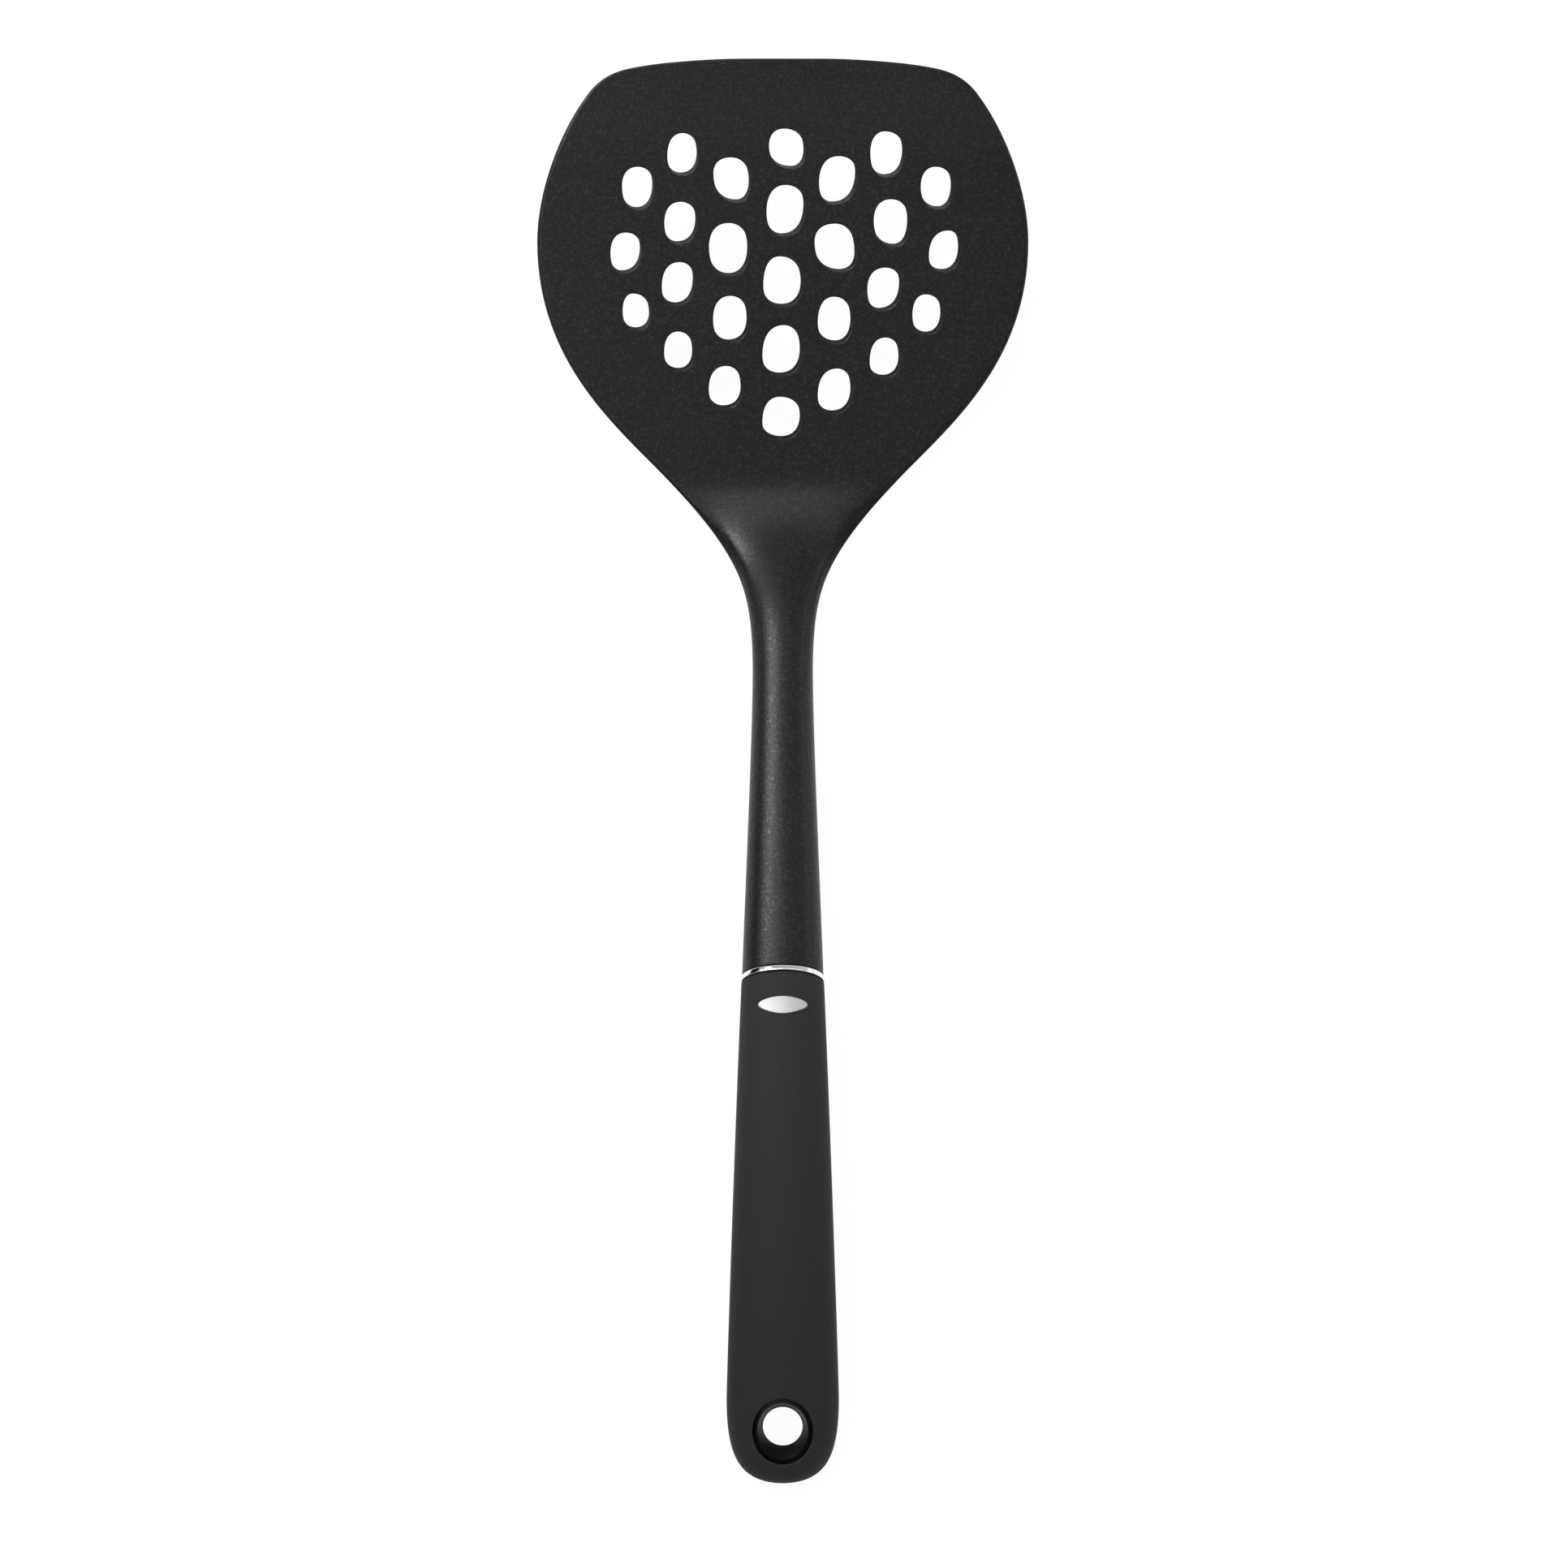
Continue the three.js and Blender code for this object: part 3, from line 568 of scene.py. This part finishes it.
def addPlate(bm, outline):
    # top and bottom share one flat fill inside the rounded edge
    sides = blade["sides"]
    edgeSteps = sides // edgeShare
    inward = edgeInward(outline)
    radius = [plateThickness(p.y) / 2 for p in outline]
    points = [p + d * r for p, d, r in zip(outline, inward, radius)]
    joinSection = plateSection(abs(outline[0].x), blade["thickness"], sides)
    joinRow = joinSection[edgeSteps + 1:sides // 2 - edgeSteps]
    points += [Vector((x, blade["joinAt"])) for x, up in reversed(joinRow)]
    loops = [list(range(len(points)))]
    pebbles = [pebbleLoop(*hole) for hole in drainHoles]
    for pebble in pebbles:
        loops.append(list(range(len(points), len(points) + len(pebble))))
        points += offsetLoop(pebble, blade["holeRim"])
    points += gridSpots(points, [points[i] for i in loops[0]])
    top = [bm.verts.new((p.x, p.y, plateThickness(p.y))) for p in points]
    lean = Vector(blade["holeLean"])  # from a hole's mouth below to its mouth above
    leaning = {i for loop in loops[1:] for i in loop}
    bottom = [bm.verts.new((*(p - lean if i in leaning else p), 0)) for i, p in enumerate(points)]
    for face in fillFlat(points, loops):
        bm.faces.new([top[i] for i in face])
        bm.faces.new([bottom[i] for i in reversed(face)])

    # rounded edge from the bottom over the outline to the top
    strips = []
    for i, p in enumerate(outline):
        strip = [bottom[i]]
        for n in range(1, 2 * edgeSteps):
            angle = math.pi * (n / (2 * edgeSteps) - 0.5)
            spot = p + inward[i] * radius[i] * (1 - math.cos(angle))
            height = plateThickness(spot.y) / 2 * (1 + math.sin(angle))
            strip.append(bm.verts.new((spot.x, spot.y, height)))
        strips.append(strip + [top[i]])
    for first, second in zip(strips, strips[1:]):
        for n in range(2 * edgeSteps):
            bm.faces.new((first[n], second[n], second[n + 1], first[n + 1]))

    # drain holes, with a rounded rim at both faces
    for pebble, loop in zip(pebbles, loops[1:]):
        upper, lower = [[top[i] for i in loop]], [[bottom[i] for i in loop]]
        for grow, drop in quarterRound(blade["holeRim"], blade["rimSteps"], 1):
            mouth = offsetLoop(pebble, grow)
            upper.append([bm.verts.new((p.x, p.y, plateThickness(p.y) - drop)) for p in mouth])
            lower.append([bm.verts.new((*(p - lean), drop)) for p in mouth])
        bridgeAll(bm, upper + lower[::-1])


def tangSection(share, gap, sides):
    loss = blade["tangTaper"] / 2 * share
    wide, deep = blade["tangWidth"] / 2 - loss + gap, blade["tangDepth"] / 2 - loss + gap
    return barSection(wide, deep, deep, sides, blade["tangPower"])


def addStem(bm, curves, cut, join):  # neck and stem, then the rounded shoulder and the tang
    heelRows, neckRows, stemRows = blade["heelRows"], blade["neckRows"], blade["stemRows"]
    rows = [join] + [bezier(*curves[3], lerp(cut, 1, n / heelRows)) for n in range(1, heelRows)]
    rows += [bezier(*curves[4], n / neckRows) for n in range(neckRows)]
    rows += [bezier(*curves[5], n / stemRows) for n in range(stemRows)]
    rings = [addRing(bm, stemSection(p.x, p.y), -p.y) for p in rows]
    end = [blade["endWidth"] / 2, blade["endCrest"], blade["endKeel"]]
    for short, inset in quarterRound(blade["endRound"], blade["endSteps"]):
        section = barSection(*[size - inset for size in end], blade["sides"])
        rings.append(addRing(bm, section, line["stemLength"] - short))
    for n in range(blade["tangSteps"] + 1):
        share = n / blade["tangSteps"]
        back = line["stemLength"] + blade["tangLength"] * share
        rings.append(addRing(bm, tangSection(share, 0, blade["sides"]), back))
    bridgeAll(bm, rings)
    closeEnd(bm, rings[-1])


def makeBladeAndStem():
    bm = bmesh.new()
    curves = bladeCurves()
    cut = lastWhere(lambda t: bezier(*curves[3], t).y > blade["joinAt"], 0, 1, 50)
    outline = plateOutline(curves, cut)
    addPlate(bm, outline)
    addStem(bm, curves, cut, outline[0])
    makePiece("bladeAndStem", bm, nylon, "blade_and_stem")


makeBladeAndStem()

# bright ring round the root of the tang, between stem and grip
ring = {
    "from": 128.05, "width": 1.35, "proud": 0.25, "edgeSunk": 0.05, "dome": 8, "domeSteps": 16,
    "sides": 128, "boreGap": 0.15, "boreRows": (1, 0.5, 0),
}


def makeTrimRing():
    bm = bmesh.new()
    rings = []
    for n in range(ring["domeSteps"] + 1):
        share = n / ring["domeSteps"]
        grow = ring["proud"] * (1 - abs(2 * share - 1) ** ring["dome"]) - ring["edgeSunk"]
        sizes = [lerp(a, b, share) + grow for a, b in zip(
            (blade["endWidth"] / 2, blade["endCrest"], blade["endKeel"]),
            (grip["startWidth"] / 2, grip["startCrest"], grip["startKeel"]))]
        rings.append(addRing(bm, barSection(*sizes, ring["sides"]), ring["from"] + share * ring["width"]))
    bore = tangSection(0, ring["boreGap"], ring["sides"])
    for share in ring["boreRows"]:
        rings.append(addRing(bm, bore, ring["from"] + share * ring["width"]))
    bridgeAll(bm, rings + rings[:1])
    makePiece("trimRing", bm, brightRing, "trim_ring")


# soft grip: a skin over the core, with a rounded lip at each mouth of the hang hole
grip = {
    "startWidth": 18.9, "width": 25.3, "tailLength": 18.9,
    "startCrest": 7.5, "startKeel": 6.9, "midCrest": 9.3, "midKeel": 8.6, "midAt": 52,
    "tailCrest": 7.7, "tailKeel": 7.3, "tailRound": 10, "tailPower": 2.4,
    "swellHandles": (0.32, 0.275, 0.965), "tailHandles": (0.7, 0.765), "skin": 2.2, "coreGap": 0.06,
    "frontRound": 0.35, "frontSteps": 4, "frontClear": 0.8, "sides": 96, "rows": 64,
    "tailRows": 44, "tailStop": 0.975, "unrolled": 11, "rimClear": 0.4, "landings": 8,
}
hang = {
    "fromTail": 12.9, "throat": 8.9, "ridgeDepth": 6.2, "rimWidth": 13.9, "rimLength": 15.3,
    "rimShift": 0.85, "ledge": 1.25, "ridgeLean": 1.2, "rimLean": 0.12, "lipRound": 0.2, "lipSteps": 5,
    "lipShares": (0.35, 0.7), "points": 72, "funnelSteps": 12,
}
bothSides = (1, -1)
gripWidestAt = line["gripLength"] - grip["tailLength"]


def gripHeights(along):
    if along < grip["midAt"]:
        share = clamp(2 * ease(along, -grip["midAt"], grip["midAt"]) - 1)
        return (lerp(grip["startCrest"], grip["midCrest"], share),
                lerp(grip["startKeel"], grip["midKeel"], share))
    share = ease(along, grip["midAt"], line["gripLength"])
    return lerp(grip["midCrest"], grip["tailCrest"], share), lerp(grip["midKeel"], grip["tailKeel"], share)


def gripPlan(u, inset):  # half width and distance along: 0 to 1 swells, 1 to 2 rounds the tail
    start, half = grip["startWidth"] / 2 - inset, grip["width"] / 2 - inset
    length, wide = line["gripLength"] - inset, gripWidestAt
    widest, tail = (half, wide), length - wide
    if u <= 1:
        swell, early, late = grip["swellHandles"]
        return bezier((start, 0), (lerp(start, half, swell), early * wide), (half, late * wide), widest, u)
    down, inward = grip["tailHandles"]
    return bezier(widest, (half, wide + down * tail), (inward * half, length), (0, length), u - 1)


def gripSizes(u, inset):
    half, along = gripPlan(u, inset)
    crest, keel = gripHeights(along)
    beforeEnd = clamp(1 - (line["gripLength"] - inset - along) / grip["tailRound"])
    shrink = (1 - beforeEnd ** grip["tailPower"]) ** (1 / grip["tailPower"])
    return along, half, (crest - inset) * shrink, (keel - inset) * shrink


def gripPoint(u, angle, inset):
    along, half, crest, keel = gripSizes(u, inset)
    return onLine(line["gripStart"] + along, *barPoint(half, crest, keel, angle))


def gripParameter(along, inset):  # u at a distance along
    return lastWhere(lambda u: gripPlan(u, inset).y < along, 0, 2, 40)


def localFrame(back):
    angle = math.radians(heading(back))
    return Matrix.Translation(onLine(back, 0, 0)) @ Matrix.Rotation(-angle, 4, "X")


def landOn(outline, place, along, inset, side):  # where an outline, square to the grip, meets its surface
    landed = []
    inverse = place.inverted()
    for p in outline:
        at = along - p.y
        for _ in range(grip["landings"]):
            u = gripParameter(at, inset)
            half = gripSizes(u, inset)[1]
            across = math.copysign(min(abs(p.x) / half, 1) ** (sectionPower / 2), p.x)
            angle = math.acos(across) if side > 0 else math.tau - math.acos(across)
            local = inverse @ gripPoint(u, angle, inset)
            at += local.y - p.y
        landed.append((u, angle, local.z))
    return landed


def wrapSurface(bm, us, count, inset, rims):
    step = math.tau / count

    def flat(u, angle):  # the surface rolled out
        return Vector((angle * grip["unrolled"], gripPlan(u, inset).y))

    grid = [[bm.verts.new(gripPoint(u, i * step, inset)) for i in range(count)] for u in us]
    taken, rimVerts = set(), []
    for rim in rims:
        rowLow = bisect.bisect(us, min(r[0] for r in rim)) - 2
        rowHigh = bisect.bisect(us, max(r[0] for r in rim)) + 1
        left = int(min(r[1] for r in rim) / step) - 1
        right = int(max(r[1] for r in rim) / step) + 2
        taken |= {(r, c) for r in range(rowLow, rowHigh) for c in range(left, right)}
        corners = ([(rowLow, c) for c in range(left, right)] + [(r, right) for r in range(rowLow, rowHigh)]
                   + [(rowHigh, c) for c in range(right, left, -1)]
                   + [(r, left) for r in range(rowHigh, rowLow, -1)])
        points = [flat(us[r], c * step) for r, c in corners]
        verts = [grid[r][c % count] for r, c in corners]
        loop = [flat(u, angle) for u, angle, height in rim]
        rimStart = len(points)
        rimVerts.append([bm.verts.new(gripPoint(u, angle, inset)) for u, angle, height in rim])
        points += loop
        verts += rimVerts[-1]
        for r in range(rowLow + 1, rowHigh):
            for c in range(left + 1, right):
                spot = flat(us[r], c * step)
                if insideLoop(spot, loop) or min((spot - p).length for p in loop) < grip["rimClear"]:
                    bm.verts.remove(grid[r][c % count])
                else:
                    points.append(spot)
                    verts.append(grid[r][c % count])
        border, hole = list(range(rimStart)), list(range(rimStart, rimStart + len(loop)))
        for face in fillFlat(points, [border, hole]):
            bm.faces.new([verts[i] for i in face])
    for r in range(len(us) - 1):
        for c in range(count):
            if (r, c) not in taken:
                after = (c + 1) % count
                bm.faces.new((grid[r][c], grid[r][after], grid[r + 1][after], grid[r + 1][c]))
    return grid[0], grid[-1], rimVerts


def rimOutline(grow, shift=None):
    a, b = hang["rimWidth"] / 2 + grow, hang["rimLength"] / 2 + grow
    back = hang["rimShift"] if shift is None else shift
    turns = [math.tau * i / hang["points"] for i in range(hang["points"])]
    return [Vector((a * math.cos(t), b * math.sin(t) - back)) for t in turns]


def ovalOutline(a, b, count):  # a lens with narrow ends that bend forward
    flat = [barPoint(a, b, b, math.tau * i / count, badge["power"]) for i in range(count)]
    return [Vector((x, y + badge["bow"] * (2 * x / badge["width"]) ** 2)) for x, y in flat]


gripRows = [n / grip["rows"] for n in range(grip["rows"])]
gripRows += [1 + grip["tailStop"] * n / grip["tailRows"] for n in range(grip["tailRows"] + 1)]
holeAlong = line["gripLength"] - hang["fromTail"]
holePlace = localFrame(line["gripStart"] + holeAlong)
badge = {
    "at": 8.5, "width": 11.2, "length": 4.3, "power": 1.7, "bow": 0.3, "flatness": 1.5, "thickness": 1,
    "proud": 0.15, "gap": 0.08, "floorGap": 0.1, "edgeRound": 0.14, "edgeSteps": 5, "points": 64, "rings": 8,
}
badgePlace = localFrame(line["gripStart"] + badge["at"])


def makeSoftGrip():
    bm = bmesh.new()
    skin, sides = grip["skin"], grip["sides"]
    lipOutline, innerOutline = rimOutline(hang["lipRound"]), rimOutline(-hang["rimLean"])
    lips = [landOn(lipOutline, holePlace, holeAlong, 0, side) for side in bothSides]
    throats = [landOn(innerOutline, holePlace, holeAlong, skin, side) for side in bothSides]
    pocketOutline = ovalOutline(badge["width"] / 2 + badge["gap"], badge["length"] / 2 + badge["gap"],
                                badge["points"])
    pocket = landOn(pocketOutline, badgePlace, badge["at"], 0, 1)
    outerRows = [gripParameter(grip["frontRound"], 0)]
    outerRows += [u for u in gripRows if gripPlan(u, 0).y > grip["frontClear"]]
    outerFront, outerEnd, outerRims = wrapSurface(bm, outerRows, sides, 0, [*lips, pocket])
    innerFront, innerEnd, innerRims = wrapSurface(bm, gripRows, sides, skin, throats)
    closeEnd(bm, outerEnd, onLine(line["gripStart"] + line["gripLength"], 0, 0))
    closeEnd(bm, innerEnd, onLine(line["gripStart"] + line["gripLength"] - skin, 0, 0))

    # front face, rounded at its outer edge
    face = [outerFront]
    for back, inset in quarterRound(grip["frontRound"], grip["frontSteps"], 1):
        half = gripPlan(gripParameter(back, 0), 0).x
        crest, keel = gripHeights(back)
        face.append(addRing(bm, barSection(half - inset, crest - inset, keel - inset, sides),
                            line["gripStart"] + back))
    bridgeAll(bm, face + [innerFront])

    # lips of the hang hole
    for side, outer, inner in zip(bothSides, outerRims[:2], innerRims):
        rings = [outer]
        for grow, drop in quarterRound(hang["lipRound"], hang["lipSteps"], 1):
            outline = rimOutline(grow)
            landed = landOn(outline, holePlace, holeAlong, 0, side)
            rings.append([bm.verts.new(holePlace @ Vector((p.x, p.y, spot[2] - side * drop)))
                          for p, spot in zip(outline, landed)])
        last = rings[-1]
        for share in hang["lipShares"]:
            rings.append([bm.verts.new(a.co.lerp(b.co, share)) for a, b in zip(last, inner)])
        bridgeAll(bm, rings + [inner])

    # badge pocket
    depth = badge["thickness"] + badge["floorGap"]
    floorRing = [bm.verts.new(badgePlace @ Vector((p.x, p.y, spot[2] - depth)))
                 for p, spot in zip(pocketOutline, pocket)]
    bridge(bm, outerRims[2], floorRing)
    closeEnd(bm, floorRing)
    makePiece("softGrip", bm, softSkin, "soft_grip")


def makeHandleCore():
    bm = bmesh.new()
    gap, sides = grip["coreGap"], grip["sides"]
    inset = grip["skin"] + gap
    mouthOutline = rimOutline(-hang["ledge"])
    mouths = [landOn(mouthOutline, holePlace, holeAlong, inset, side) for side in bothSides]
    front, end, rims = wrapSurface(bm, gripRows, sides, inset, mouths)
    closeEnd(bm, end, onLine(line["gripStart"] + line["gripLength"] - inset, 0, 0))
    throat = hang["throat"] / 2
    ridge = gripHeights(holeAlong)[0] - hang["ridgeDepth"]
    rings = []
    for side, rim, mouth in zip(bothSides, rims, mouths):
        heights = [spot[2] for spot in mouth]
        half = [rim]
        for n in range(1, hang["funnelSteps"] + 1):
            share = 1 - n / hang["funnelSteps"]
            oval = rimOutline(-hang["ledge"], hang["rimShift"] * share)
            level = []
            for i, p in enumerate(oval):
                turn = math.tau * i / hang["points"]
                narrow = Vector((throat * math.cos(turn), throat * math.sin(turn)))
                spot = narrow.lerp(p, share)
                height = lerp(ridge + hang["ridgeLean"] * math.sin(turn), heights[i], share)
                level.append(bm.verts.new(holePlace @ Vector((spot.x, spot.y, height))))
            half.append(level)
        rings += half if side > 0 else half[::-1][1:]
    bridgeAll(bm, rings)

    # blind socket for the tang
    socket = [front]
    for n in range(blade["tangSteps"] + 1):
        share = n / blade["tangSteps"]
        back = lerp(line["gripStart"], line["stemLength"] + blade["tangLength"] + gap, share)
        socket.append(addRing(bm, tangSection(share, gap, sides), back))
    bridgeAll(bm, socket)
    closeEnd(bm, socket[-1])
    makePiece("handleCore", bm, corePlastic, "handle_core")


# badge: a bare oval plate, flatter than the grip's crest and a hair proud, with a rounded edge
def makeBadgePlate():
    bm = bmesh.new()
    halfWidth, halfLength, count = badge["width"] / 2, badge["length"] / 2, badge["points"]
    edge = badge["edgeRound"]
    crest = gripHeights(badge["at"])[0] + badge["proud"]
    reach = badge["flatness"] * grip["startWidth"] / 2

    def ringAt(inset, drop, share=1):
        outline = [p * share for p in ovalOutline(halfWidth - inset, halfLength - inset, count)]
        heights = [crest * math.sqrt(1 - (p.x / reach) ** 2) - drop for p in outline]
        return [bm.verts.new(badgePlace @ Vector((p.x, p.y, z))) for p, z in zip(outline, heights)]

    outline = ovalOutline(halfWidth, halfLength, count)
    landed = landOn(outline, badgePlace, badge["at"], 0, 1)
    rings = [[bm.verts.new(badgePlace @ Vector((p.x, p.y, spot[2] - badge["thickness"])))
              for p, spot in zip(outline, landed)]]
    for drop, inset in quarterRound(edge, badge["edgeSteps"]):
        rings.append(ringAt(inset, drop))
    for n in range(1, badge["rings"]):
        rings.append(ringAt(edge, 0, 1 - n / badge["rings"]))
    bridgeAll(bm, rings)
    closeEnd(bm, rings[0])
    closeEnd(bm, rings[-1])
    makePiece("badgePlate", bm, satinPlate, "badge_plate")


makeTrimRing()
makeSoftGrip()
makeHandleCore()
makeBadgePlate()

# white table, soft studio light
studio = {
    "tableSize": 8, "tableWhite": 0.95, "tableShade": 0.08, "tableShadow": 0.1, "tableMatt": 0.8,
    "dome": 0.62, "horizon": 0.85, "zenith": 0.42, "skyBand": (0.1, 0.9),
    "cardAt": -0.25, "cardHeight": 0.14, "cardReach": (-0.6, 1), "cardBlack": 0.004,
}
# painted shadow on the table under the tool, seen only in mirrored rays: from where it is full to where it is
# gone, and how deep it is at the tail
shadow = {
    "bladeAside": (0.04, 0.07), "bladeHeel": (0.06, 0.03), "bladeFront": (0.16, 0.19),
    "tailAside": (0.008, 0.02), "tailAlong": (-0.14, -0.125), "tailDepth": 0.4,
}
softboxes = {
    "keySoftbox": {"direction": (-0.505, 0.53, 0.681), "distance": 0.77, "size": (0.55, 0.2), "power": 0.53,
                   "aim": (-0.02, 0.13, 0.02), "spread": 40},
    "topSoftbox": {"direction": (0.3, 0.49, 0.82), "distance": 1.5, "size": (1.4, 0.5), "power": 2},
    "bendSoftbox": {"direction": (-0.19, 0.38, 0.9), "distance": 1.5, "size": (0.5, 0.5), "power": 3.0},
    "fillSoftbox": {"direction": (-0.5, -0.25, 0.83), "distance": 1, "size": (0.7, 0.7), "power": 2.4},
    "rimSoftbox": {"direction": (0.85, 0.44, 0.3), "distance": 1, "size": (0.25, 0.4), "power": 0.5},
}


def seenOrMirrored(tree):
    path = tree.nodes.new("ShaderNodeLightPath")
    either = mathNode(tree, "MAXIMUM", path.outputs["Is Camera Ray"], path.outputs["Is Glossy Ray"])
    return mathNode(tree, "MAXIMUM", either, path.outputs["Is Transmission Ray"])


def paintedShadowUnderTool(tree):  # painted shadow mask: 1 on the table under the blade, less under the tail and 0 elsewhere
    coords, split = tree.nodes.new("ShaderNodeTexCoord"), tree.nodes.new("ShaderNodeSeparateXYZ")
    link(tree, coords.outputs["Object"], split.inputs[0])
    aside, along = mathNode(tree, "ABSOLUTE", split.outputs["X"]), split.outputs["Y"]

    def within(value, ends, mask=1):
        return mathNode(tree, "MULTIPLY", mapRange(tree, value, *ends, 1, 0), mask)

    underBlade = within(aside, shadow["bladeAside"])
    underBlade = within(along, shadow["bladeHeel"], underBlade)
    underBlade = within(along, shadow["bladeFront"], underBlade)
    underTail = within(aside, shadow["tailAside"], shadow["tailDepth"])
    underTail = within(along, shadow["tailAlong"], underTail)
    return mathNode(tree, "MAXIMUM", underBlade, underTail)


def makeTable():
    size = studio["tableSize"] / 2
    mesh = bpy.data.meshes.new("table")
    corners = [(-size, -size, 0), (size, -size, 0), (size, size, 0), (-size, size, 0)]
    mesh.from_pydata(corners, [], [(0, 1, 2, 3)])
    table = bpy.data.objects.new("table", mesh)
    scene.collection.objects.link(table)
    material = bpy.data.materials.new("whiteTable")
    material.use_nodes = True
    tree = material.node_tree
    tree.nodes.clear()
    out = tree.nodes.new("ShaderNodeOutputMaterial")
    mix, add = tree.nodes.new("ShaderNodeMixShader"), tree.nodes.new("ShaderNodeAddShader")
    matt, faint = tree.nodes.new("ShaderNodeBsdfDiffuse"), tree.nodes.new("ShaderNodeBsdfDiffuse")
    glow = tree.nodes.new("ShaderNodeEmission")
    matt.inputs["Color"].default_value = (*[studio["tableMatt"]] * 3, 1)
    faint.inputs["Color"].default_value = (*[studio["tableShade"]] * 3, 1)
    path = tree.nodes.new("ShaderNodeLightPath")
    # painted shadow: mirrored rays see the table's glow dimmed under the tool by this mask, not by any
    # blocked light
    mirrored = mathNode(tree, "MULTIPLY", path.outputs["Is Glossy Ray"], paintedShadowUnderTool(tree))
    bright = mapRange(tree, mirrored, 0, 1, studio["tableWhite"], studio["tableShadow"])
    link(tree, bright, glow.inputs["Strength"])
    link(tree, glow.outputs[0], add.inputs[0])
    link(tree, faint.outputs[0], add.inputs[1])
    link(tree, seenOrMirrored(tree), mix.inputs[0])
    link(tree, matt.outputs[0], mix.inputs[1])
    link(tree, add.outputs[0], mix.inputs[2])
    link(tree, mix.outputs[0], out.inputs["Surface"])
    table.data.materials.append(material)


def makeDome():
    world = bpy.data.worlds.new("studioDome")
    scene.world = world
    world.use_nodes = True
    tree = world.node_tree
    tree.nodes.clear()
    out = tree.nodes.new("ShaderNodeOutputWorld")
    soft, seen = tree.nodes.new("ShaderNodeBackground"), tree.nodes.new("ShaderNodeBackground")
    mix = tree.nodes.new("ShaderNodeMixShader")
    soft.inputs["Strength"].default_value = studio["dome"]
    soft.inputs["Color"].default_value = (1, 1, 1, 1)
    coords = tree.nodes.new("ShaderNodeTexCoord")
    split = tree.nodes.new("ShaderNodeSeparateXYZ")
    link(tree, coords.outputs["Generated"], split.inputs[0])
    level = mapRange(tree, split.outputs["Z"], *studio["skyBand"], studio["horizon"], studio["zenith"])
    link(tree, level, seen.inputs["Strength"])
    link(tree, seenOrMirrored(tree), mix.inputs[0])
    link(tree, soft.outputs[0], mix.inputs[1])
    link(tree, seen.outputs[0], mix.inputs[2])
    link(tree, mix.outputs[0], out.inputs["Surface"])


def makeLamp(name, direction, distance, size, power, aim=(0, 0, 0), spread=180):
    lamp = bpy.data.objects.new(name, bpy.data.lights.new(name, "AREA"))
    lamp.data.shape = "RECTANGLE"
    lamp.data.size, lamp.data.size_y = size
    lamp.data.energy = power
    lamp.data.spread = math.radians(spread)
    place = Vector(direction).normalized() * distance
    toLamp = (place - Vector(aim)).normalized()
    across = (Vector((1, 0, 0)) - toLamp * toLamp.x).normalized()
    facing = Matrix((across, toLamp.cross(across), toLamp)).transposed()
    lamp.matrix_world = Matrix.Translation(place) @ facing.to_4x4()
    lamp.visible_camera = False
    scene.collection.objects.link(lamp)


def makeCard():  # a black flag on the left, between the key and the table
    x, low, high = studio["cardAt"], *studio["cardReach"]
    mesh = bpy.data.meshes.new("blackCard")
    corners = [(x, low, 0), (x, high, 0), (x, high, studio["cardHeight"]), (x, low, studio["cardHeight"])]
    mesh.from_pydata(corners, [], [(0, 1, 2, 3)])
    card = bpy.data.objects.new("blackCard", mesh)
    material, _, shader = newMaterial("blackCard")
    shader.inputs["Base Color"].default_value = (*[studio["cardBlack"]] * 3, 1)
    shader.inputs["Roughness"].default_value = 1
    card.data.materials.append(material)
    card.visible_camera = False
    scene.collection.objects.link(card)


makeTable()
makeDome()
for name, softbox in softboxes.items():
    makeLamp(name, **softbox)
makeCard()
print("studio lit")
